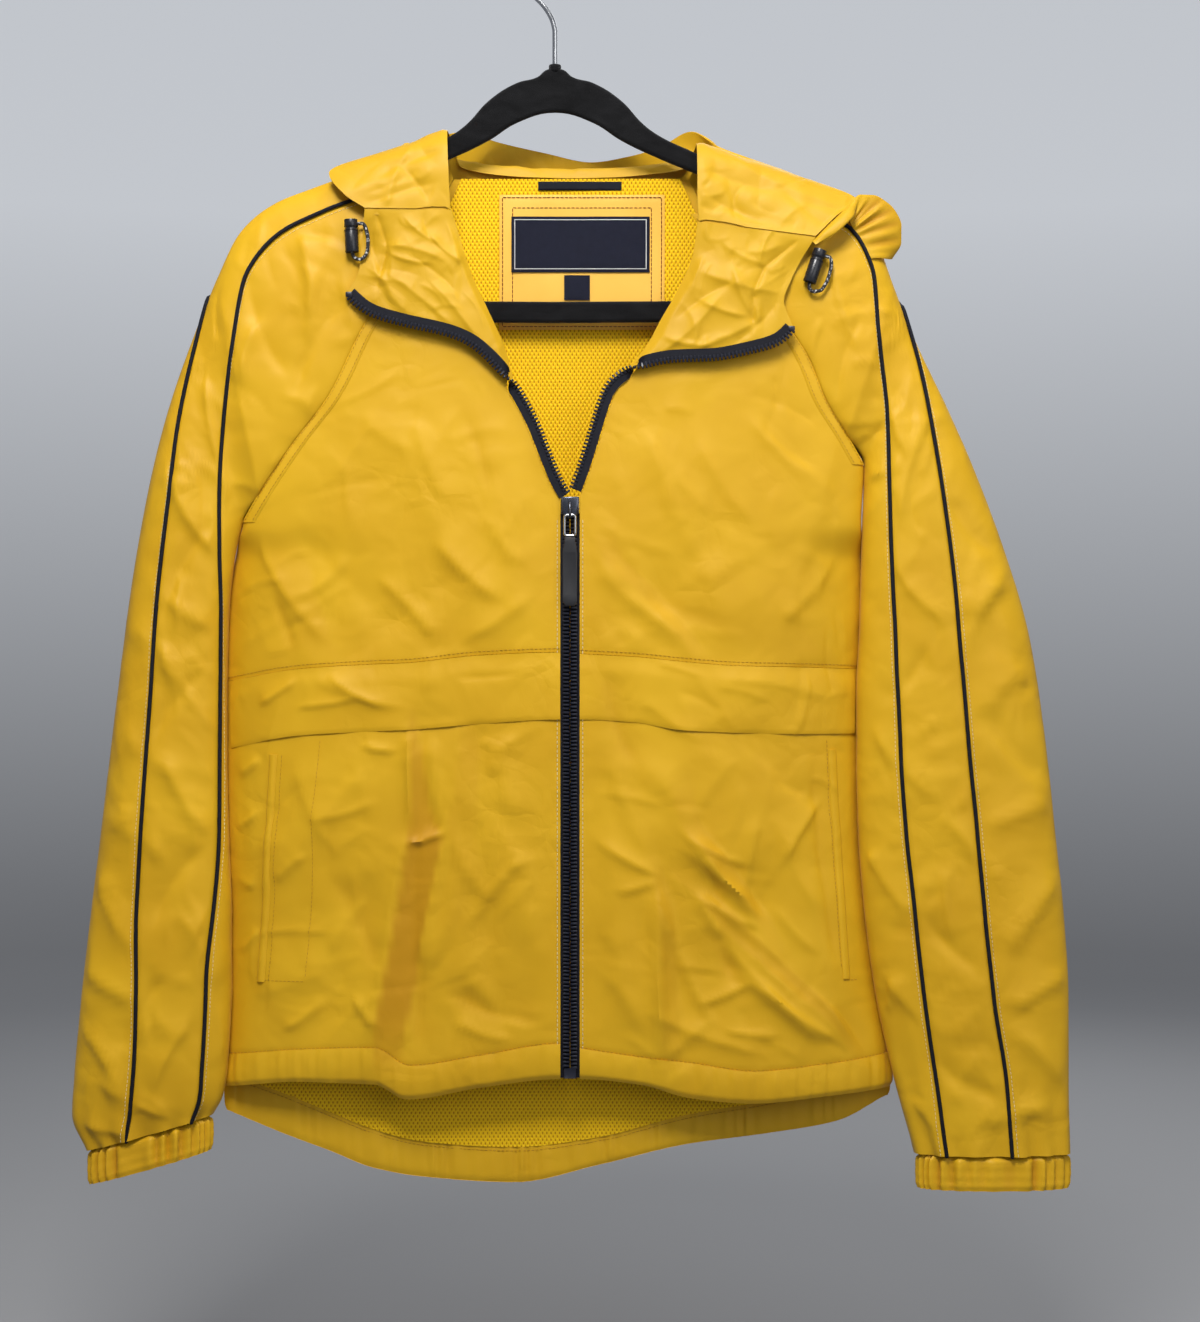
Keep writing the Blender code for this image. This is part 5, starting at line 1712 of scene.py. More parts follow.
    def pocket(self, side: Side) -> None:
        """Makes the pocket's welt and sews the pocket down."""
        ends = {Side.RIGHT: (-191.5, -200.5, -556, -710), Side.LEFT: (190.5, 199, -553, -708)}
        top_x, low_x, top, low = ends[side]
        down = np.linspace(0, 1, 70)[:, None]
        share = np.linspace(0, 1, 9)[None]
        x = top_x + (low_x - top_x) * down - side.sign * self.welt_width * share
        z = top + (low - top) * down + 0 * share
        round_off = 1 - np.abs(2 * share - 1) ** 4
        high = 1.9 if side is Side.RIGHT else 0.9
        outer = 0.5 + high * round_off * (0.55 + 0.45 * share)
        inner = outer - 0.25 - 1.2 * round_off
        name = "pocket_welt_" + side.value
        piece = shell(name, self.front(side, x, z, outer), self.front(side, x, z, inner), SHELL)
        declare(piece, [name])
        sheet(piece, 10, 155, 0.6)
        if side is Side.RIGHT:
            z = np.linspace(top, low, 90)
            self.sew_front(side, top_x + (low_x - top_x) * (top - z) / (top - low) + 8, z, 0.1)
            z = np.linspace(-546, -706, 90)
            x = -157 - 10 * (z + 546) / -163
            self.sew_front(side, x, z, 0.1)
            x = np.linspace(-168, low_x + 1, 20)
            self.sew_front(side, x, -709 + 0 * x, 0.1)
        else:
            z = np.linspace(-546, -700, 90)
            self.sew_front(side, 184 + 9 * (z + 544) / -156, z, 0.1)
            x = np.linspace(194, 205, 8)
            self.sew_front(side, x, -709 + 0 * x, 0.1)

    def back_grid(self, shares: Array, rows_above: int, rows_below: int) -> tuple[Array, Array]:
        """Places across the back, from the neck to the top of the hem band.

        Args:
            shares: shares from right to left.
            rows_above: rows from the neck to the underarm.
            rows_below: rows from there to the hem.

        Returns:
            Their x and z.
        """
        right, left = SLEEVE_AT[Side.RIGHT], SLEEVE_AT[Side.LEFT]
        row = np.linspace(0, UNDERARM_ROW, rows_above)[:, None]
        s = shares[None]
        x1, z1 = right["back_x"](row) + 0.2, right["back_z"](row)
        x2, z2 = left["back_x"](row) - 0.2, left["back_z"](row)
        x, z = x1 + s * (x2 - x1), z1 + s * (z2 - z1)
        down = np.linspace(0, 1, rows_below)[1:, None]
        band = self.tail("band", shares)[1][None]
        low_z = z[-1:] + down * (band + 0.2 - z[-1:])
        ends = [BODY_AT[key](low_z) for key in ("right_x", "left_x")]
        return np.concatenate([x, ends[0] + s * (ends[1] - ends[0])]), np.concatenate([z, low_z])

    def tail(self, name: str, share: Array) -> tuple[Array, Array]:
        """The (x, z) on one of the tail's lines, at shares from right to left."""
        ends = [float(BODY_AT[key](-790.0)) for key in ("right_x", "left_x")]
        z = TAIL_AT[name](ends[0] + share * (ends[1] - ends[0]))
        ends = [BODY_AT[key](z) for key in ("right_x", "left_x")]
        return ends[0] + share * (ends[1] - ends[0]), z

    def back_height(self, x: Array, z: Array) -> Array:
        """The creases of the back, that fade at its sides."""
        nearest = np.minimum(np.abs(BODY_AT["left_x"](z) - x), np.abs(BODY_AT["right_x"](z) - x))
        height = relief(BACK_CREASES, x, z) + relief(self.back_small, x, z)
        return height * fade(nearest / 28)

    def back(self) -> None:
        """Makes the back, its mesh lining and its gathered hem."""
        even = np.linspace(0, 1, 106)
        shares = 0.4 * even + 0.6 * (1 - np.cos(np.pi * even)) / 2
        x, z = self.back_grid(shares, 54, 94)
        high = self.back_height(x, z)
        outer = body_point(x, z, high, False)
        inner = body_point(x, z, high * 0.6 - CLOTH, False)
        piece = declare(shell("back_panel", outer, inner, SHELL), ["back_panel"])
        sheet(piece, 452, 665, 0.86)

        x, z = self.back_grid(0.03 + 0.94 * shares[::2], 60, 90)
        loose = 0.35 * np.sin(x * 0.045 + z * 0.02) + 0.3 * np.sin(z * 0.051 - x * 0.013 + 1)
        outer, inner = (body_point(x, z, out + loose, False) for out in (-2.0, -2.5))
        piece = declare(shell("back_lining", outer, inner, LINING), ["back_lining"])
        sheet(piece, 425, 660, 0.86)

        share = np.linspace(0.002, 0.998, 560)[None]
        (top_x, top), (_, edge) = self.tail("band", share), self.tail("edge", share)
        down = np.linspace(0, 1, 14)[:, None]
        z = top + 1.6 + down * (edge - top - 1.6)
        x = top_x + 0 * down
        run = 2 * math.pi * self.gathers * (share + 0.006 * np.sin(share * 41) + 0.003 * np.sin(share * 97))
        uneven = 0.65 + 0.35 * np.sin(share * 57 + 1)
        wave = uneven * (np.cos(run) + 0.35 * np.cos(run * 0.5 + 1))
        bulge = 0.7 * np.sin(np.pi * down) ** 0.7
        turn_in = fade((down - 0.82) / 0.18) ** 2
        outer = 0.4 + bulge + 0.75 * wave * (0.5 + 0.5 * np.sin(np.pi * down)) - 1.2 * turn_in
        inner = -1.5 - bulge * 0.8 + 0.7 * wave * (0.5 + 0.5 * np.sin(np.pi * down)) + 0.9 * turn_in
        faces = [body_point(x, z, out, False) for out in (outer, inner)]
        piece = declare(shell("back_hem", *faces, SHELL), ["back_hem"])
        sheet(piece, 480, 26, 1.0)
        shares = np.linspace(0.02, 0.98, 300)
        seam_x, seam_z = self.tail("band", shares)
        for out, turn in ((0.5, 1), (-2.1, -1)):
            on = body_point(seam_x, seam_z + 1.0 * turn - 1.4, out, False)
            self.thread.sew(on, np.array([0.0, float(turn), 0.0]) + 0 * on)

    def make(self) -> None:
        """Makes every piece of the body."""
        for side in Side:
            self.upper(side)
            self.lower(side)
        self.back()
        self.thread.make("shell_cloth")
        self.zip_thread.make("zip_tape")


# ---------------------------------------------------------------- sleeves


def turn_grid(low: Array, high: Array, count: int) -> Array:
    """Turns round a sleeve, closer together where it bends.

    Args:
        low: where each row starts.
        high: where each row ends.
        count: the columns.

    Returns:
        The turns, in rows.
    """

    def angle(turn: Array) -> Array:
        near = np.arccos(np.clip(1 - 2 * np.abs(turn), -1, 1)) * np.where(turn < 0, -1, 1)
        far = 2 * np.pi - np.arccos(np.clip(1 - 2 * (2 - turn), -1, 1))
        return np.where(turn <= 1, near, far)

    share = np.linspace(0, 1, count)[None]
    bent = angle(low)[:, None] * (1 - share) + angle(high)[:, None] * share
    turn = (1 - np.cos(bent)) / 2
    return np.where(bent <= np.pi, np.where(bent < 0, -turn, turn), 2 - turn)


@dataclass
class Sleeve:
    """One raglan sleeve: three panels, two pipings and an elastic cuff."""

    side: Side
    rows: int = 205
    piping: float = 1.35
    piping_out: float = 0.9
    gathers: int = 25
    elastic: float = 24.0

    def __post_init__(self) -> None:
        """Strews the small creases and sets out the rows."""
        self.at = SLEEVE_AT[self.side]
        if self.side is Side.RIGHT:
            low, high, lean, seed = (-330, -820), (-110, -200), -60, 11
        else:
            low, high, lean, seed = (140, -820), (350, -200), 45, 12
        self.small = crinkles(seed, 220, low, high, lean, 60, (16, 48), (0.5, 1.4))
        self.small_back = crinkles(seed + 2, 150, low, high, -lean, 60, (20, 50), (0.4, 1.1))
        self.row = np.linspace(0, LAST_ROW, self.rows)
        self.thread = Stitching("sleeve_stitches_" + self.side.value, CREAM_THREAD, 2.8, 2.0, 0.26)

    def base(self, row: Array, turn: Array, out: Array | float = 0.0) -> Array:
        """Points of the smooth sleeve, moved out of it.

        Args:
            row: the rows, whole or part.
            turn: 0 at the front seam, 1 at the ridge and 2 at the back seam.
            out: how far each is moved out.

        Returns:
            The points.
        """
        row, turn = np.broadcast_arrays(np.asarray(row, float), np.asarray(turn, float))
        at = self.at
        front = (turn >= 0) & (turn <= 1)
        start = np.stack(
            [np.where(front, at["seam_" + axis](row), at["back_" + axis](row)) for axis in "xz"], -1
        )
        ridge = np.stack([at["ridge_x"](row), at["ridge_z"](row)], -1)
        share = np.where(turn <= 1, np.abs(turn), 2 - turn)
        whole = np.clip(row - (UNDERARM_ROW - 1), 0, 1)
        across = ridge - start
        length = np.linalg.norm(across, axis=-1)
        across /= length[..., None]
        sides = [
            np.abs(body_point(start[..., 0], start[..., 1], 0.0, side)[..., 1])
            for side in (True, False)
        ]
        body_depth = np.where(front, *sides) * (1 - whole) + SEAM / 2 * whole
        arch, closed = rounding(share, 2.4), rounding(2 * share - 1, 2.4)
        depth = (body_depth + out * (1 - whole)) * arch + (at["puff"](row) + out * whole) * closed
        far = share * (length + out * (1 + whole)) - out * whole
        place = start + across * far[..., None]
        return np.stack([place[..., 0], np.where(front, -depth, depth), place[..., 1]], -1)

    def height(self, row: Array, turn: Array) -> Array:
        """The creases of the sleeve, its gathers above the cuff and its seams' dips."""
        row, turn = np.broadcast_arrays(np.asarray(row, float), np.asarray(turn, float))
        flat = self.base(row, turn)
        x, z = flat[..., 0], flat[..., 2]
        share = np.where(turn <= 1, np.abs(turn), 2 - turn)
        front = (turn >= 0) & (turn <= 1)
        edge = fade((1.02 - share) * 9) * fade((share + 0.05) * 9)
        main = SLEEVE_CREASES[self.side]
        seen = 1.6 * relief(main, x, z) + relief(self.small, x, z)
        hidden = relief(main, x, z + 31) * 0.9 + relief(self.small_back, x, z)
        creased = np.where(front, seen, hidden) * edge
        length = np.hypot(self.at["ridge_x"](row) - self.at["seam_x"](row), self.at["ridge_z"](row) - self.at["seam_z"](row))
        dip = 0.0
        for name in ("front_piping", "back_piping"):
            aside = (turn - self.at[name](row)) * length
            dip = dip - 0.7 * np.exp(-((aside / 1.8) ** 2))
            creased = creased * (1 - 0.75 * np.exp(-((aside / 6) ** 2)))
        to_cuff = (LAST_ROW - row) * 24
        ripple = np.cos(turn * 31 + 1.5 * np.sin(turn * 7)) * 1.8 + np.cos(turn * 17 + 2) * 1.1
        ripple = ripple * np.exp(-to_cuff / 20) * edge
        return creased + dip + ripple

    def surface(self, row: Array, turn: Array, out: Array | float = 0.0) -> Array:
        """Points of the creased sleeve."""
        return self.base(row, turn, out + self.height(row, turn))

    def panel(self, name: str, low: Array, high: Array, count: int, width: float, share: float) -> None:
        """Makes a panel.

        Args:
            name: its name.
            low: the turns where it starts.
            high: the turns where it ends.
            count: its columns.
            width: the cut's width.
            share: the share of the cut's rectangle that it takes.
        """
        turns = turn_grid(low, high, count)
        row = self.row[:, None] + 0 * turns
        faces = [self.surface(row, turns, out) for out in (0.0, -CLOTH)]
        node = f"sleeve_{name}_{self.side.value}"
        piece = declare(shell(node, *faces, SHELL), [node])
        sheet(piece, width, 690, share)

    def panels(self) -> None:
        """Makes the front panel, the strip between the pipings and the back panel."""
        at, row = self.at, self.row
        length = np.hypot(at["ridge_x"](row) - at["seam_x"](row), at["ridge_z"](row) - at["seam_z"](row))
        gap = 0.15 / length
        front, back, under = at["front_piping"](row), at["back_piping"](row), at["under"](row)
        self.panel("front", -under + gap, front - gap, 38, 92, 0.62)
        self.panel("strip", front + gap, back - gap, 32, 64, 0.82)
        self.panel("back", back + gap, 2 - under - gap, 50, 165, 0.85)

    def pipings(self) -> None:
        """Makes the pipings, and sews beside them."""
        for place, first, aside in (("front", 0.12, -3.4), ("back", 0.5, 3.4)):
            row = np.linspace(first, LAST_ROW, 260)
            turn = self.at[place + "_piping"](row)
            length = np.hypot(
                self.at["ridge_x"](row) - self.at["seam_x"](row),
                self.at["ridge_z"](row) - self.at["seam_z"](row),
            )
            path = self.base(row, turn, self.piping_out)
            node = f"piping_{place}_{self.side.value}"
            declare(tube_mesh(node, path, self.piping, NAVY_PIPING, 10), [node])
            beside = turn + aside / length
            on = self.surface(row, beside, 0.1)
            self.thread.sew(on, self.surface(row, beside, 1.1) - on)
        self.thread.make("shell_cloth")

    def cuff(self) -> None:
        """Makes the gathered elastic cuff."""
        table = np.array(SLEEVE[self.side][-1], float)
        seam, ridge, puff = table[:2], table[2:4], table[6]
        middle, half = (seam + ridge) / 2, (ridge - seam) / 2
        reach = np.linalg.norm(half)
        angle = np.linspace(0, 2 * np.pi, 250, endpoint=False)[None]
        down = np.linspace(0, 1, 22)[:, None]
        run = self.gathers * (angle + 0.10 * np.sin(angle * 3 + 1) + 0.05 * np.sin(angle * 7))
        uneven = 0.75 + 0.3 * np.sin(angle * 5 + self.side.sign)
        folds = uneven * (np.cos(run) + 0.3 * np.cos(0.46 * run + 1))
        ripple = 2.1 * folds
        ripple = ripple * (0.55 + 0.45 * np.sin(np.pi * down))
        bands = 0.1 * np.cos(down * 3.5 * 2 * np.pi) * fade(down * 5) * fade((1 - down) * 5)
        inset = 0.9 + 2.8 * (1 - fade(down * 7)) + 0.9 * fade((down - 0.85) / 0.15)

        def ring(inward: Array) -> Array:
            grow = 1 - inward / reach
            x = middle[0] + half[0] * grow * np.cos(angle)
            z = middle[1] + half[1] * grow * np.cos(angle) - 0.3 - down * (self.elastic - 0.6)
            return np.stack([x, (puff - inward) * np.sin(angle) + 0 * down, z], -1)

        faces = [ring(inset - ripple - bands), ring(inset - ripple * 0.7 + 2.4)]
        node = "cuff_" + self.side.value
        # Painted shade: the cuff's colour is painted deeper in the troughs of its gathers.
        deeper = np.clip(-folds - 0.3, 0, 1) + 0 * down
        piece = shell(node, *faces, SHELL, around=True, tone=deeper)
        declare(piece, [node])
        sheet(piece, 250, 50, 0.5)

    def make(self) -> None:
        """Makes every piece of the sleeve."""
        self.panels()
        self.pipings()
        self.cuff()


# ---------------------------------------------------------------- lapels and hood


@dataclass
class Lapel:
    """One lapel: the top of the front, turned out to show its bright facing."""

    side: Side
    stand: float = 4.0

    def flat(self, across: Array, up: Array) -> Array:
        """Points of the lapel before its creases.

        Args:
            across: 0 at its fold and 1 at its free edge.
            up: 0 at the zip and 1 at the hood.

        Returns:
            The points.
        """
        across, up = np.broadcast_arrays(across, up)
        zip_line = line_of(OPENING[self.side][FOLD_POINT[self.side]:])
        fold, edge = line_of(LAPEL_FOLD[self.side]), line_of(LAPEL_EDGE[self.side])
        a, u = across[..., None], up[..., None]
        chord = (1 - a) * zip_line(0.0) + a * zip_line(1.0)
        place = (1 - a) * fold(up) + a * edge(up) + (1 - u) * (zip_line(across) - chord)
        x, z = place[..., 0], place[..., 1]
        lift = 1 + np.sin(np.pi * np.minimum(1, across * 1.1)) * (0.4 + 0.6 * up)
        rolled = 0.12 + 0.88 * fade(across * 9) ** 0.6
        y = -BODY_AT["front"](z) - SEAM - self.stand * lift * rolled
        neck_x, neck_y, _, brim_x, brim_y, *_ = HOOD[0 if self.side is Side.RIGHT else -1]
        hood_y = neck_y + (x - neck_x) / (brim_x - neck_x) * (brim_y - neck_y)
        meet = fade((up - 0.6) / 0.4)
        return np.stack([x, y + meet * (hood_y - y), z], -1)

    def surface(self, across: Array, up: Array, out: Array | float = 0.0) -> Array:
        """Points of the creased lapel, moved towards the viewer."""
        flat = self.flat(across, up)
        x, z = flat[..., 0], flat[..., 2]
        low, high = ((-140, -285), (-30, -190)) if self.side is Side.RIGHT else ((50, -295), (175, -200))
        small = crinkles(21 + self.side.sign, 46, low, high, 60, 80, (12, 34), (0.4, 1.0))
        rise = relief(LAPEL_CREASES[self.side], x, z) + relief(small, x, z)
        keep = fade(across * 8) * fade(up * 7 + 0.1) * (0.35 + 0.65 * fade((1 - across) * 6))
        flat[..., 1] -= rise * keep + out
        return flat

    def make(self) -> None:
        """Makes the lapel, and sews along its zip."""
        up = np.linspace(0.012, 1.0, 76)[:, None]
        across = np.linspace(0.004, 1.0, 88)[None] ** 1.1
        faces = [self.surface(across, up, out) for out in (0.0, -CLOTH)]
        node = "lapel_" + self.side.value
        piece = declare(shell(node, *faces, FACING), [node])
        sheet(piece, 120, 100, 0.6)
        neck_x, neck_y, neck_z, brim_x, brim_y, brim_z, _ = HOOD[0 if self.side is Side.RIGHT else -1]
        share = np.linspace(0.03, 0.97, 40)[:, None]
        aside = np.linspace(-4, 4, 7)[None]
        line = [a + share * (b - a) for a, b in ((neck_x, brim_x), (neck_y, brim_y), (neck_z, brim_z))]
        outer = np.stack(np.broadcast_arrays(line[0], line[1] + 0.5, line[2] - 0.3 + aside), -1)
        faces = [outer, outer + np.array([0, 0.4, 0])]
        tape = declare(shell("cross_seam_" + self.side.value, *faces, FACING))
        wide = math.hypot(brim_x - neck_x, brim_z - neck_z)
        sheet(tape, wide, 10, 0.75)
        thread = Stitching("lapel_stitches_" + self.side.value, YELLOW_THREAD_PAINTED_SHADE)
        share = np.linspace(0.03, 0.98, 150)
        on = self.surface(share, 0.045 + 0 * share, 0.1)
        thread.sew(on, np.array([0.0, -1.0, 0.0]) + 0 * on)
        thread.make("facing_cloth")


@dataclass
class Hood:
    """The hood, turned down behind the neck, its bag and its brim's casing."""

    per_row: int = 9
    columns: int = 90
    brim_from: float = 0.84
    casing_out: float = 2.4

    def flat(self, row: Array, share: Array) -> Array:
        """Points of the hood before its creases.

        Args:
            row: the stations, from the right lapel round to the left.
            share: 0 at the neck and 1 at the brim.

        Returns:
            The points.
        """
        row, share = np.broadcast_arrays(row, share)
        at = HOOD_AT
        neck, brim = (
            np.stack([at[f"{end}_{axis}"](row) for axis in "xyz"], -1) for end in ("neck", "brim")
        )
        drop = at["drop"](row)
        run = {name: HOOD_RUN_AT[name](share * (len(HOOD_RUN) - 1)) for name in HOOD_RUN_COLUMNS}
        point = neck + run["across"][..., None] * (brim - neck)
        hang = np.minimum(1, drop / 130)
        aside = run["spread"] * hang * (point[..., 0] - CENTRE_X)
        return point + np.stack([aside, run["push"] * hang, run["lift"] - run["down"] * drop], -1)

    def grid(self, low: float, high: float) -> tuple[Array, Array, Array]:
        """The creased hood between two stations.

        Args:
            low: the first station.
            high: the last.

        Returns:
            Its points, its outward normals and the shares from neck to brim.
        """
        count = int((high - low) * self.per_row * 1.6) + 1
        row = np.linspace(low, high, count)[:, None]
        share = np.linspace(0, 1, self.columns)[None]
        points = self.flat(row, share)
        lean = normals(points)
        x, z = points[..., 0], points[..., 2]
        inward = -relief(HOOD_CREASES, x, z) - relief(self.small, x, z)
        bag = relief(BAG_CREASES, x, z) + relief(self.small_bag, x, z)
        behind = fade((points[..., 1] - 6) / 10)
        keep = fade(share * 10) * fade((1 - share) * 14 + 0.15)
        keep = keep * fade(np.minimum(row, len(HOOD) - 1 - row) / 0.6 + 0.05)
        height = (inward * (1 - behind) + bag * behind) * keep
        return points + lean * height[..., None], lean, share + 0 * row

    def make(self) -> None:
        """Makes the hood's three panels and its brim's casing."""
        self.small = crinkles(31, 120, (-150, -215), (235, -125), 20, 80, (12, 36), (0.4, 1.1))
        self.small_bag = crinkles(32, 110, (-110, -350), (130, -140), 80, 80, (22, 60), (0.5, 1.2))
        first, second = HOOD_CENTRE_ROWS
        last = len(HOOD) - 1
        thread = Stitching("hood_stitches", YELLOW_THREAD_PAINTED_SHADE)
        cuts = {"hood_right": (135, 235, 0.6), "hood_centre": (210, 330, 0.9), "hood_left": (150, 245, 0.6)}
        spans = {"hood_right": (0, first), "hood_centre": (first, second), "hood_left": (second, last)}
        for name, (low, high) in spans.items():
            points, lean, _ = self.grid(low, high)
            piece = declare(shell(name, points, points + lean * CLOTH, FACING), [name])
            width, length, share = cuts[name]
            sheet(piece, width, length, share)
        for name, low, high in (("hood_brim_right", 0, last / 2), ("hood_brim_left", last / 2, last)):
            points, lean, share = self.grid(low, high)
            start = int(self.brim_from * (self.columns - 1))
            points, lean, share = points[:, start:], lean[:, start:], share[:, start:]
            tuck = np.sin(np.pi * (share - self.brim_from) / (1 - self.brim_from)) ** 0.5
            puff = 0.25 + self.casing_out * np.nan_to_num(tuck)
            outer = points - lean * puff[..., None]
            inner = points - lean * (puff - CLOTH * 0.9)[..., None]
            piece = declare(shell(name, outer, inner, FACING), [name])
            sheet(piece, 330, 26, 1.0)
            edge = points[:, 2] - lean[:, 2] * 1.0
            thread.sew(edge, -lean[:, 2])
        thread.make("shell_cloth")
        self.roll()

    def roll(self) -> None:
        """Makes the rolled, ruched left end of the brim."""
        at, last = by_row(ROLL, ROLL_COLUMNS), len(ROLL) - 1
        row, share = np.linspace(0, last, 150)[:, None], np.linspace(0, 1, 24)[None]
        ends = [np.stack([at[axis + end](row) for axis in "xyz"], -1) for end in "12"]
        middle = ends[0] + share[..., None] * (ends[1] - ends[0])
        lean = normals(middle)
        along = row / last
        gathered = fade((along - 0.4) / 0.2) * (1.15 - 0.55 * fade((along - 0.7) / 0.2))
        ruche = np.cos(row * 5.2 + 1.3 * np.sin(row * 1.7) + share) + 0.4 * np.cos(row * 8.1 + 1)
        round_off = np.sin(np.pi * share) ** 0.7 * fade(row * 1.5 + 0.1)
        rise = (2.0 + (0.15 + 0.95 * gathered * (0.4 + share)) * ruche) * round_off
        # Painted shade: the roll's colour is painted deeper in the troughs of its ruching, and more towards the
        # edge set by the x1, y1 and z1 columns where it is gathered.
        deeper = 0.9 * np.clip(-ruche, 0, 1) * gathered * round_off + 0.35 * (1 - share) * gathered
        outer = middle - lean * rise[..., None]
        piece = shell("brim_roll", outer, outer + lean * CLOTH, FACING, tone=deeper)
        declare(piece, ["hood_roll_left"])
        sheet(piece, 110, 16, 0.8)


# ---------------------------------------------------------------- hard pieces, made as by hand


def deselect() -> None:
    """Leaves edit mode and selects nothing."""
    if bpy.context.object and bpy.context.object.mode != "OBJECT":
        bpy.ops.object.mode_set(mode="OBJECT")
    bpy.ops.object.select_all(action="DESELECT")


def begin(name: str) -> bpy.types.Object:
    """Names the new primitive, which is the active object."""
    made = bpy.context.active_object
    made.name = name
    made.data.name = name
    return made


def settle(piece: bpy.types.Object) -> None:
    """Puts a piece's place into its mesh, so that it sits at the origin."""
    deselect()
    piece.select_set(True)
    bpy.context.view_layer.objects.active = piece
    bpy.ops.object.transform_apply(location=True, rotation=True, scale=True)


def pick_faces(piece: bpy.types.Object, test: Callable[[Vector, Vector], bool]) -> None:
    """Selects the faces that pass a test, and enters edit mode.

    Args:
        piece: the piece.
        test: takes a face's centre in millimetres and its normal.
    """
    deselect()
    piece.select_set(True)
    bpy.context.view_layer.objects.active = piece
    bpy.ops.object.mode_set(mode="EDIT")
    bpy.ops.mesh.select_mode(type="FACE")
    bpy.ops.mesh.select_all(action="DESELECT")
    bpy.ops.object.mode_set(mode="OBJECT")
    for face in piece.data.polygons:
        face.select = test(face.center / MM, face.normal)
    bpy.ops.object.mode_set(mode="EDIT")


def add_box(name: str, size: tuple[float, float, float], at: tuple[float, float, float]) -> bpy.types.Object:
    """A box of a size at a place, in millimetres."""
    deselect()
    bpy.ops.mesh.primitive_cube_add(size=1, location=Vector(at) * MM)
    piece = begin(name)
    piece.scale = Vector(size) * MM
    settle(piece)
    return piece


def add_barrel(
    name: str, radius: float, depth: float, at: tuple[float, float, float], sides: int = 40
) -> bpy.types.Object:
    """An upright barrel, in millimetres."""
    deselect()
    bpy.ops.mesh.primitive_cylinder_add(
        vertices=sides, radius=radius * MM, depth=depth * MM, location=Vector(at) * MM
    )
    return begin(name)


def bevel(piece: bpy.types.Object, width: float, segments: int = 2, angle: float = 35) -> None:
    """Rounds a piece's sharp edges with a modifier, and applies it."""
    deselect()
    bpy.context.view_layer.objects.active = piece
    piece.select_set(True)
    rounder = piece.modifiers.new("rounder", "BEVEL")
    rounder.width, rounder.segments = width * MM, segments
    rounder.limit_method, rounder.angle_limit = "ANGLE", math.radians(angle)
    bpy.ops.object.modifier_apply(modifier=rounder.name)


def dress(piece: bpy.types.Object, finish: object) -> bpy.types.Object:
    """Smooths a hard piece and gives it its finish."""
    piece.data.shade_smooth()
    piece.data.set_sharp_from_angle(angle=math.radians(38))
    piece.data.materials.clear()
    piece.data.materials.append(material_of(finish))
    return piece


def copies(name: str, model: bpy.types.Object, places: Sequence[Matrix], finish: object) -> bpy.types.Object:
    """One piece of many copies of a model, each with its own mesh.

    Args:
        name: the piece's name.
        model: what is copied, and then deleted.
        places: where each copy goes.
        finish: the finish.

    Returns:
        The piece.
    """
    points = np.array([vertex.co for vertex in model.data.vertices])
    faces = [list(face.vertices) for face in model.data.polygons]
    all_points, all_faces = [], []
    for index, place in enumerate(places):
        turned = points @ np.array(place.to_3x3()).T + np.array(place.translation)
        all_points.append(turned)
        all_faces += [[v + index * len(points) for v in face] for face in faces]
    bpy.data.objects.remove(model)
    mesh = bpy.data.meshes.new(name)
    mesh.from_pydata(np.concatenate(all_points).tolist(), [], all_faces)
    mesh.update()
    return dress(new_object(name, mesh, finish), finish)


def wire(name: str, path: Sequence[Sequence[float]], radius: float, closed: bool) -> bpy.types.Object:
    """A bent wire as a mesh.

    Args:
        name: its name.
        path: points along it, in millimetres.
        radius: its radius.
        closed: whether it joins its own start.

    Returns:
        The object.
    """
    curve = bpy.data.curves.new(name, "CURVE")
    curve.dimensions = "3D"
    curve.bevel_depth, curve.bevel_resolution = radius * MM, 4
    curve.use_fill_caps = not closed
    spline = curve.splines.new("POLY")
    spline.points.add(len(path) - 1)
    for point, place in zip(spline.points, path):
        point.co = (*(np.array(place, float) * MM), 1)
    spline.use_cyclic_u = closed
    made = bpy.data.objects.new(name, curve)
    bpy.context.scene.collection.objects.link(made)
    deselect()
    made.select_set(True)
    bpy.context.view_layer.objects.active = made
    bpy.ops.object.convert(target="MESH")
    return bpy.context.active_object


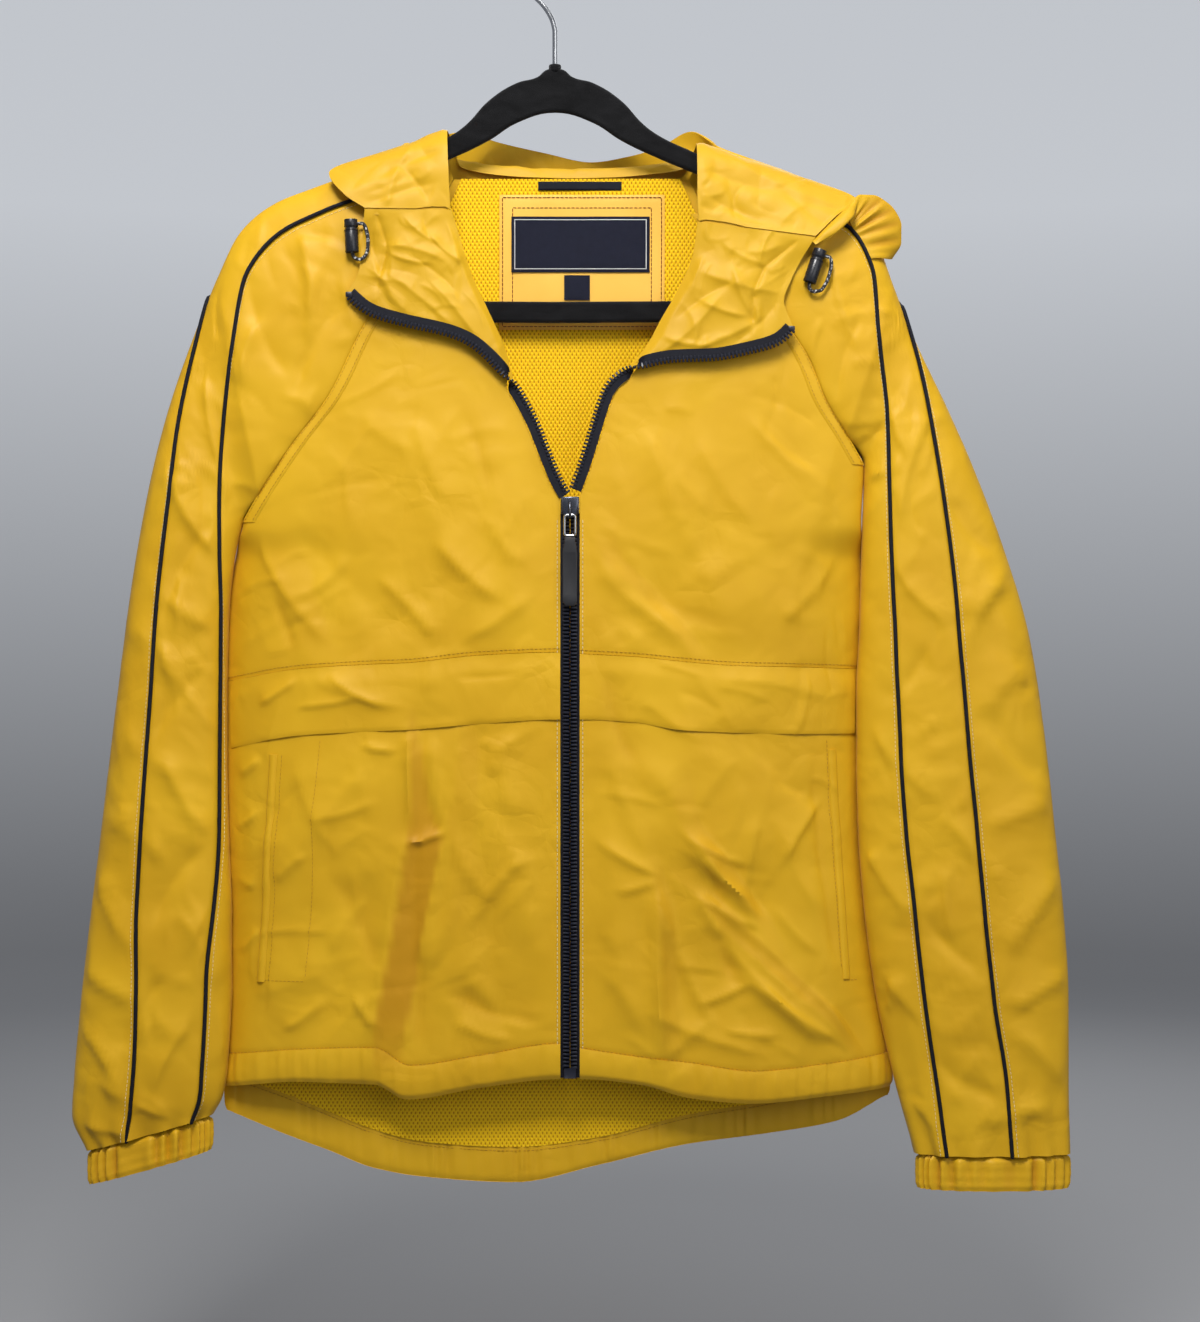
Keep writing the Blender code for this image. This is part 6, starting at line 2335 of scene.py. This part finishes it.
@dataclass
class Zip:
    """The moulded zip: tapes, teeth, box, slider, and the pull that swings from it."""

    pitch: float = 2.55
    chain_thick: float = 2.6
    tooth: tuple[float, float, float] = (3.6, 1.35, 2.2)
    open_tape: float = 6.6

    def surface_y(self, z: Array | float) -> Array:
        """The front's depth at the zip."""
        return body_point(CENTRE_X, z)[..., 1]

    def model_tooth(self) -> bpy.types.Object:
        """One moulded tooth, pointing along +X from the tape's edge, out along +Z."""
        long, thick, high = self.tooth
        tooth = add_box("tooth", (long, thick, high), (long / 2 - 0.9, 0, 0))
        pick_faces(tooth, lambda centre, normal: normal.x > 0.9)
        bpy.ops.mesh.extrude_region_move(TRANSFORM_OT_translate={"value": (0.7 * MM, 0, 0)})
        bpy.ops.transform.resize(value=(1, 1.25, 0.72))
        bpy.ops.object.mode_set(mode="OBJECT")
        bevel(tooth, 0.28, 1)
        return tooth

    def places(self, path: Array, out: Array, side: int, shift: float) -> list[Matrix]:
        """Where the teeth of one edge stand.

        Args:
            path: points along the teeth's middle, in millimetres.
            out: the way out of the tape at each.
            side: the side of the way along that the teeth point to, 1 or -1.
            shift: how far the first is along, in pitches.

        Returns:
            A matrix for each tooth.
        """
        run = np.concatenate([[0], np.cumsum(np.linalg.norm(np.diff(path, axis=0), axis=1))])
        stops = np.arange(shift * self.pitch, run[-1], self.pitch)

        def read(values: Array, at: Array) -> Array:
            return np.stack([np.interp(at, run, column) for column in values.T], -1)

        made = []
        for centre, ahead, lift in zip(read(path, stops), read(path, stops + 0.5) - read(path, stops - 0.5), read(out, stops)):
            up = Vector(lift).normalized()
            along = Vector(ahead).normalized()
            point = along.cross(up).normalized() * side
            along = up.cross(point)
            turn = Matrix((point, along, up)).transposed().to_4x4()
            made.append(Matrix.Translation(Vector(centre) * MM) @ turn)
        return made

    def chain(self) -> None:
        """Makes the closed chain between its tapes."""
        top, low = SLIDER_Z - 4, ZIP_END_Z + 7
        z = np.linspace(top, low, 180)
        places = []
        for side, shift in ((1, 0.3), (-1, 0.8)):
            path = np.stack([CENTRE_X - side * 1.35 + 0 * z, self.surface_y(z) - 1.35, z], -1)
            out = np.array([0.0, -1.0, 0.0]) + 0 * path
            places += self.places(path, out, side, shift)
        declare(copies("zip_chain", self.model_tooth(), places, TEETH), ["zip_chain"])
        for side in Side:
            z = np.linspace(top, ZIP_END_Z, 150)[:, None]
            share = np.linspace(0, 1, 8)[None]
            x = CENTRE_X + side.sign * (0.25 + (TAPE_WIDTH + 0.4) * share)
            bead = 0.75 * np.exp(-(((share - 0.08) / 0.1) ** 2))
            y = self.surface_y(z) + 0.55 - bead
            outer = np.stack(np.broadcast_arrays(x, y, z), -1)
            inner = outer + np.array([0, 0.6, 0])
            node = "zip_tape_" + side.value
            piece = declare(shell(node, outer, inner, NAVY_TAPE), [node])
            sheet(piece, 12, 379, 0.55)

    def open_half(self, side: Side, lapel: Lapel) -> None:
        """Makes the teeth and tape of one open half.

        Args:
            side: which half.
            lapel: the lapel that it runs on to.
        """
        path = np.array(OPENING[side], float)
        turn = FOLD_POINT[side]
        lower = line_of(path[: turn + 1])(np.linspace(0, 1, 60))
        y = body_point(lower[:, 0], lower[:, 1])[:, 1]
        lower = np.stack([lower[:, 0], y - 1.1, lower[:, 1]], -1)
        share = np.linspace(0, 1, 120)
        upper = lapel.flat(share, 0 * share) - np.array([0, 1.1, 0])
        line = np.concatenate([lower, upper[2:]])
        smooth = np.stack([np.convolve(np.pad(c, 6, "edge"), np.ones(13) / 13, "valid") for c in line.T], -1)
        ahead = np.gradient(smooth, axis=0)
        ahead /= np.linalg.norm(ahead, axis=1, keepdims=True)
        run = np.concatenate([[0], np.cumsum(np.linalg.norm(np.diff(smooth, axis=0), axis=1))])
        turned = np.pi * fade((run - run[59]) / 22 + 0.2)[:, None]
        viewer = np.array([0.0, -1.0, 0.0])
        pointed = -side.sign * np.cross(ahead, viewer)
        out = viewer * np.cos(turned) - pointed * np.sin(turned)
        node = "zip_teeth_" + side.value
        places = self.places(smooth + ahead * 0, out, -side.sign, 0.4)
        declare(copies(node, self.model_tooth(), places, TEETH), [node])
        point = pointed * np.cos(turned) + viewer * np.sin(turned)
        share = np.linspace(0, 1, 7)[None, :, None]
        outer = smooth[:, None] - point[:, None] * (share * self.open_tape - 1.2) + 0.35 * viewer
        inner = outer - viewer * 0.5
        tape = shell("open_tape_" + side.value, outer, inner, NAVY_TAPE)
        sheet(declare(tape), 12, 200, 0.62)
        stop = add_box("zip_stop_" + side.value, (4.4, 2.6, 3.4), (0, 0, 0))
        bevel(stop, 0.5)
        stop.location = Vector(smooth[-1]) * MM
        settle(stop)
        declare(dress(stop, TEETH))

    def box(self) -> None:
        """Makes the box that the zip's foot closes in."""
        low, high = (Vector(corner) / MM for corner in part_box("zip_box"))
        piece = add_box("zip_foot", tuple(high - low), tuple((low + high) / 2))
        pick_faces(piece, lambda centre, normal: normal.y < -0.9)
        bpy.ops.mesh.inset(thickness=0.9 * MM, depth=-0.5 * MM)
        bpy.ops.object.mode_set(mode="OBJECT")
        bevel(piece, 0.35)
        declare(dress(piece, TEETH), ["zip_box"])

    def slider(self) -> None:
        """Makes the slider: two shields, a waist and the lug that holds the pull."""
        front = float(self.surface_y(SLIDER_Z)) - 2.9
        body = add_box("slider_front", (12.4, 1.7, 14), (CENTRE_X, front - 1.2, SLIDER_Z))
        pick_faces(body, lambda centre, normal: normal.z < -0.9)
        bpy.ops.transform.resize(value=(0.72, 1, 1))
        bpy.ops.object.mode_set(mode="OBJECT")
        pick_faces(body, lambda centre, normal: normal.y < -0.9)
        bpy.ops.mesh.inset(thickness=1.3 * MM, depth=0.45 * MM)
        bpy.ops.object.mode_set(mode="OBJECT")
        bevel(body, 0.45, 3)
        flanges = []
        for sign in (-1, 1):
            flange = add_box("flange", (1.5, 2.4, 11), (CENTRE_X + sign * 5.4, front + 0.2, SLIDER_Z + 1))
            bevel(flange, 0.4)
            flanges.append(flange)
        lug_y, lug_z = front - 3.9, SLIDER_Z - 5.4
        lug = [
            (CENTRE_X, front - 1.2, SLIDER_Z + 4.2), (CENTRE_X, front - 3.6, SLIDER_Z + 2.8),
            (CENTRE_X, lug_y - 1.5, SLIDER_Z - 2), (CENTRE_X, lug_y - 1.75, lug_z),
            (CENTRE_X, lug_y - 0.9, lug_z - 1.7), (CENTRE_X, front - 1.6, lug_z - 1.9),
        ]
        line = line_of(lug)(np.linspace(0, 1, 26))
        bridge = wire("bridge", line, 0.85, False)
        deselect()
        for part in (*flanges, bridge, body):
            part.select_set(True)
        bpy.context.view_layer.objects.active = body
        bpy.ops.object.join()
        body.name = "slider"
        declare(dress(body, SLIDER_METAL), ["zip_slider"])
        self.pull(lug_y, lug_z)

    def pull(self, bar_y: float, bar_z: float) -> None:
        """Makes the link and the ribbed rubber tab.

        Args:
            bar_y: the depth of the hinge.
            bar_z: its height.
        """
        half, top, low, corner = 3.6, bar_z, bar_z - 13.7, 1.6
        ring = []
        for x_sign, z, turn in ((1, top, 90), (-1, top, 180), (-1, low, 270), (1, low, 360)):
            centre_x = CENTRE_X + x_sign * (half - corner)
            centre_z = z + (-corner if z == top else corner)
            for step in range(6):
                angle = math.radians(turn - 90 + step * 18)
                ring.append((centre_x + corner * math.cos(angle), bar_y, centre_z + corner * math.sin(angle)))
        link = wire("pull_link", ring, 0.8, True)
        declare(dress(link, LINK_METAL), ["zip_link"], PULL_TAB)
        low_corner, high_corner = (Vector(corner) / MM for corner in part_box("zip_tab"))
        size, middle = high_corner - low_corner, (high_corner + low_corner) / 2
        tab = add_box("pull_tab_rubber", tuple(size), tuple(middle))
        pick_faces(tab, lambda centre, normal: True)
        for height in (0.93, 0.80, 0.14, 0.07):
            bpy.ops.mesh.select_all(action="SELECT")
            at = low_corner.z + size.z * height
            bpy.ops.mesh.bisect(plane_co=(0, 0, at * MM), plane_no=(0, 0, 1))
        bpy.ops.object.mode_set(mode="OBJECT")
        neck = low_corner.z + size.z * 0.80
        for vertex in tab.data.vertices:
            height = vertex.co.z / MM
            if height > neck + 0.1:
                vertex.co.x = (CENTRE_X + (vertex.co.x / MM - CENTRE_X) * 0.74) * MM
            elif height < low_corner.z + 1:
                vertex.co.x = (CENTRE_X + (vertex.co.x / MM - CENTRE_X) * 0.6) * MM
        for sign in (-1, 1):
            pick_faces(tab, lambda centre, normal, s=sign: s * normal.y > 0.9 and centre.z < neck - 5 and centre.z > low_corner.z + 8)
            bpy.ops.mesh.inset(thickness=1.2 * MM, depth=-0.35 * MM)
            bpy.ops.object.mode_set(mode="OBJECT")
        bevel(tab, 0.4, 2)
        declare(dress(tab, TAB_RUBBER), ["zip_tab"], PULL_TAB)

    def make(self, lapels: dict[Side, Lapel]) -> None:
        """Makes the whole zip."""
        self.chain()
        for side in Side:
            self.open_half(side, lapels[side])
        self.box()
        self.slider()


@dataclass
class CordLock:
    """A spring lock on the hood's cord, and the loop of cord at its end."""

    side: Side
    radius: float = 4.5
    cord: float = 1.2

    def loop(self) -> None:
        """Makes the loop of cord, along its solid's route."""
        (top_x, top_z), (low_x, low_z) = LOCK[self.side]
        low, high = (np.array(corner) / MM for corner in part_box("cord_lock_" + self.side.value))
        y = (low[1] + high[1]) / 2
        start, end = np.array([top_x, y, top_z]), np.array([low_x, y, low_z])
        length = np.linalg.norm(end - start)
        aim = (end - start) / length
        aside = np.array([-aim[2], 0, aim[0]])
        route = (
            (0.3, 0), (3.2, 1.0), (5.0, 4.5), (3.0, 8.4), (-2.5, 10.6), (-8.5, 11.0),
            (-length + 6, 9.8), (-length + 3, 7.6), (-length + 3, self.radius + 0.3),
        )
        points = [end + aim * along + aside * across for along, across in route]
        path = line_of([tuple(point) for point in points])(np.linspace(0, 1, 70))
        node = "cord_loop_" + self.side.value
        piece = tube_mesh(node, path, self.cord, CORD_BRAID, 12)
        declare(piece, [node])
        tuple(path[0] * MM)
        (path * MM).tolist()

    def barrel(self) -> None:
        """Makes the lock: a ribbed barrel with a sprung button."""
        (top_x, top_z), (low_x, low_z) = LOCK[self.side]
        low, high = (np.array(corner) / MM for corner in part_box("cord_lock_" + self.side.value))
        middle = (low + high) / 2
        length = math.hypot(low_x - top_x, low_z - top_z)
        barrel = add_barrel("barrel", self.radius, length, (0, 0, 0), 36)
        for share in (-0.25, 0.2, 0.26, 0.38):
            pick_faces(barrel, lambda centre, normal: True)
            bpy.ops.mesh.bisect(plane_co=(0, 0, share * length * MM), plane_no=(0, 0, 1))
            bpy.ops.object.mode_set(mode="OBJECT")

        def groove(centre: Vector, normal: Vector) -> bool:
            return abs(normal.z) < 0.1 and 0.2 * length < centre.z < 0.26 * length

        pick_faces(barrel, groove)
        bpy.ops.mesh.inset(thickness=0.05 * MM, depth=-0.5 * MM, use_boundary=True)
        bpy.ops.object.mode_set(mode="OBJECT")
        for sign in (-1, 1):
            pick_faces(barrel, lambda centre, normal, s=sign: s * normal.z > 0.9)
            bpy.ops.mesh.inset(thickness=1.1 * MM, depth=-0.7 * MM)
            bpy.ops.object.mode_set(mode="OBJECT")
        bevel(barrel, 0.45, 2, 50)
        turn = math.atan2(top_x - low_x, top_z - low_z)
        barrel.rotation_euler = (0, turn, 0)
        barrel.location = Vector(middle) * MM
        settle(barrel)
        barrel.name = "lock_" + self.side.value
        declare(dress(barrel, LOCK_PLASTIC), ["cord_lock_" + self.side.value])


@dataclass
class NeckTrim:
    """What is sewn inside the back of the neck: patch, bare label, size tab and hang loop."""

    border: float = 3.2

    def surface(self, name: str, x: Array, z: Array, out: Array | float = 0.0) -> Array:
        """Points on a neck piece, out being towards the front."""
        inward = NECK_PIECES[name][4]
        wave = 0.35 * np.sin(x * 0.09 + 1) * np.sin(z * 0.07)
        return body_point(x, z, -inward - wave - out, False)

    def panel(self, name: str, finish: object, slot: str, thick: float, held: str) -> None:
        """Makes one piece."""
        x1, x2, top, low, _ = NECK_PIECES[name]
        x = np.linspace(x1, x2, max(12, int((x2 - x1) / 3)))[None]
        z = np.linspace(top, low, max(8, int((top - low) / 3)))[:, None]
        edge = np.minimum(
            np.minimum(x - x1, x2 - x), np.minimum(top - z, z - low)
        )
        fold = thick * fade(edge / 1.0 + 0.25)
        x, z = np.broadcast_arrays(x, z)
        piece = shell(name, self.surface(name, x, z, fold), self.surface(name, x, z, -0.05), finish)
        long = max(top - low, 10.0)
        share = (top - low) / long
        sheet(declare(piece, [name]), x2 - x1, long, share)

    def frame(self, name: str, inset: float, width: float, finish: object, lift: float) -> None:
        """Makes the label's woven border, a flat frame on its face."""
        x1, x2, top, low, _ = NECK_PIECES[name]
        corners = [(x1 + inset, top - inset), (x2 - inset, top - inset), (x2 - inset, low + inset), (x1 + inset, low + inset)]
        middle = np.array([(x1 + x2) / 2, (top + low) / 2])
        rows = []
        for edge in (0.0, width):
            line = []
            for start, end in zip(corners, corners[1:] + corners[:1]):
                for share in np.linspace(0, 1, 24, endpoint=False):
                    point = np.array(start) + share * (np.array(end) - np.array(start))
                    line.append(point + np.sign(middle - point) * edge * (np.abs(middle - point) > 0.1))
            rows.append(line)
        place = np.array(rows)
        x, z = place[..., 0], place[..., 1]
        faces = [self.surface(name, x, z, out) for out in (lift + 0.16, lift)]
        declare(shell("label_border", *faces, finish, around=True))

    def make(self) -> None:
        """Makes every piece and its stitches."""
        self.panel("neck_patch", PATCH, "neck_patch_cloth", 0.8, "laid")
        self.panel("neck_label", NAVY_LABEL, "woven_label", 0.6, "laid")
        self.frame("neck_label", 2.0, 0.55, WHITE_WEFT, 0.6)
        self.panel("size_tab", NAVY_LABEL, "woven_label", 0.5, "hung")
        self.panel("hang_loop", NAVY_TAPE, "woven_label", 0.8, "hung")
        thread = Stitching("patch_stitches", RUST_THREAD, 3.0, 2.6, 0.36)
        x1, x2, top, low, _ = NECK_PIECES["neck_patch"]
        for inset in (2.0, 9.0):
            corners = [(x1 + inset, top - inset), (x2 - inset, top - inset), (x2 - inset, low + inset), (x1 + inset, low + inset)]
            for start, end in zip(corners, corners[1:] + corners[:1]):
                path = np.linspace(start, end, 60)
                on = self.surface("neck_patch", path[:, 0], path[:, 1], 0.85)
                thread.sew(on, np.array([0.0, -1.0, 0.0]) + 0 * on)
        thread.make("neck_patch_cloth")


@dataclass
class Hanger:
    """The flocked hanger and its plated hook."""

    thick: float = 6.0
    round_off: float = 2.3
    hook_radius: float = 23.75
    hook_wire: float = 3.5

    def body(self) -> None:
        """Makes the hanger's body with rounded edges."""
        curve = bpy.data.curves.new("hanger_flock", "CURVE")
        curve.dimensions, curve.fill_mode = "2D", "BOTH"
        curve.bevel_depth, curve.bevel_resolution = self.round_off * MM, 3
        curve.offset = -self.round_off * MM
        curve.extrude = (self.thick / 2 - self.round_off) * MM
        outer = list(HANGER_OUTER) + [(-x, z) for x, z in HANGER_OUTER[::-1]]
        inner = list(HANGER_INNER) + [(-x, z) for x, z in HANGER_INNER[:0:-1]]
        for outline in (outer, inner):
            spline = curve.splines.new("BEZIER")
            spline.bezier_points.add(len(outline) - 1)
            for point, (x, z) in zip(spline.bezier_points, outline):
                point.co = (x * MM, z * MM, 0)
                point.handle_left_type = point.handle_right_type = "AUTO"
            spline.use_cyclic_u = True
            spline.resolution_u = 6
        made = bpy.data.objects.new("hanger_flock", curve)
        bpy.context.scene.collection.objects.link(made)
        deselect()
        made.select_set(True)
        bpy.context.view_layer.objects.active = made
        bpy.ops.object.convert(target="MESH")
        made = bpy.context.active_object
        made.rotation_euler = (math.radians(90), 0, 0)
        settle(made)
        declare(dress(made, VELVET), ["hanger_body"])

    def hook(self) -> None:
        """Makes the bent wire hook, with its rounded tip."""
        middle = self.hook_wire / 2 - self.hook_radius
        stem = [(0, 0, -94), (0, 0, -84), (0, 0, -75), (0, 0, -66), (-1.2, 0, -59), (-5, 0, -51)]
        angles = np.radians(np.linspace(236, -28, 60))
        bend = [
            (self.hook_radius * math.cos(a), 0, middle + self.hook_radius * math.sin(a)) for a in angles
        ]
        path = line_of(stem + bend)(np.linspace(0, 1, 130))
        piece = tube_mesh("hook_wire", path, self.hook_wire / 2, HOOK_STEEL, 20)
        declare(piece, ["hanger_hook"])
        collar = add_barrel("hook_collar", 4.2, 5.0, (0, 0, -90.0), 32)
        bevel(collar, 1.0, 3)
        settle(collar)
        declare(dress(collar, VELVET))

    def make(self) -> None:
        """Makes the hanger."""
        self.body()
        self.hook()


# ---------------------------------------------------------------- camera, lights and floor


@dataclass
class Studio:
    """A camera at the photograph's view, soft light and a pale sweep."""

    centre: tuple[float, float] = (30.6, -492.9)
    seen: float = 899.0
    distance: float = 1650.0
    floor_z: float = -1050.0

    def camera(self) -> None:
        """Aims the camera straight at the front."""
        data = bpy.data.cameras.new("camera")
        data.sensor_fit, data.sensor_height = "VERTICAL", 24
        data.lens = 24 * self.distance / self.seen
        data.clip_end = 50
        camera = bpy.data.objects.new("camera", data)
        x, z = self.centre
        camera.location = Vector((x, -self.distance, z)) * MM
        camera.rotation_euler = (math.radians(90), 0, 0)
        bpy.context.scene.collection.objects.link(camera)
        bpy.context.scene.camera = camera

    def light(
        self, name: str, at: tuple[float, float, float], size: float, power: float, warm: float = 0.0
    ) -> None:
        """Adds a soft square light that faces the jacket.

        Args:
            name: its name.
            at: where it hangs, in metres.
            size: its side in metres.
            power: its watts.
            warm: how warm its colour is.
        """
        data = bpy.data.lights.new(name, "AREA")
        data.size, data.energy = size, power
        data.color = (1.0, 1.0 - 0.06 * warm, 1.0 - 0.14 * warm)
        made = bpy.data.objects.new(name, data)
        made.location = at
        aim = Vector((0.02, 0, -0.5)) - Vector(at)
        made.rotation_euler = aim.to_track_quat("-Z", "Y").to_euler()
        bpy.context.scene.collection.objects.link(made)

    def sweep(self) -> None:
        """Makes the floor, that curves up all round into a pale wall."""
        steps = [(0.0, 0.0), (0.8, 0.0), (1.6, 0.0), (2.4, 0.0)]
        steps += [
            (2.4 + 1.4 * math.sin(a), 1.4 - 1.4 * math.cos(a)) for a in np.linspace(0.1, math.pi / 2, 12)
        ]
        steps += [(3.8, 2.4), (3.8, 3.6)]
        angles = np.linspace(0, 2 * np.pi, 64, endpoint=False)
        points = [
            (r * math.cos(a), r * math.sin(a), h + self.floor_z * MM) for r, h in steps[1:] for a in angles
        ]
        faces = grid_faces(len(steps) - 1, 64, True, 0, False).tolist() + [list(range(64))]
        mesh = bpy.data.meshes.new("floor")
        mesh.from_pydata(points, [], faces)
        mesh.update()
        floor = new_object("floor", mesh, FLOOR)
        floor.visible_diffuse = floor.visible_glossy = floor.visible_shadow = False

    def make(self) -> None:
        """Sets the lights and the world."""
        scene = bpy.context.scene
        scene.view_settings.view_transform = "Standard"
        scene.view_settings.look = "None"
        world = bpy.data.worlds.new("soft_daylight")
        world.use_nodes = True
        background = world.node_tree.nodes["Background"]
        background.inputs["Color"].default_value = (0.86, 0.90, 1.0, 1)
        background.inputs["Strength"].default_value = 0.26
        scene.world = world
        self.light("key", (-0.12, -1.2, 0.75), 0.5, 28, 0.3)
        self.light("fill", (1.1, -1.7, 0.1), 1.2, 8)
        self.light("top", (0.2, -0.45, 0.85), 0.7, 6)
        self.light("back", (0.4, 1.6, 0.5), 1.4, 12)
        self.sweep()


def main() -> None:
    """Builds every piece in order."""
    logging.basicConfig(level=logging.INFO, format="%(name)s: %(message)s")
    studio = Studio()
    studio.camera()
    locks = {side: CordLock(side) for side in Side}
    for lock in locks.values():
        lock.loop()
    Torso().make()
    for side in Side:
        Sleeve(side).make()
    lapels = {side: Lapel(side) for side in Side}
    for lapel in lapels.values():
        lapel.make()
    Hood().make()
    Zip().make(lapels)
    for lock in locks.values():
        lock.barrel()
    NeckTrim().make()
    Hanger().make()
    studio.make()
    deselect()
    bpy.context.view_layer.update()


if __name__ == "__main__":
    main()
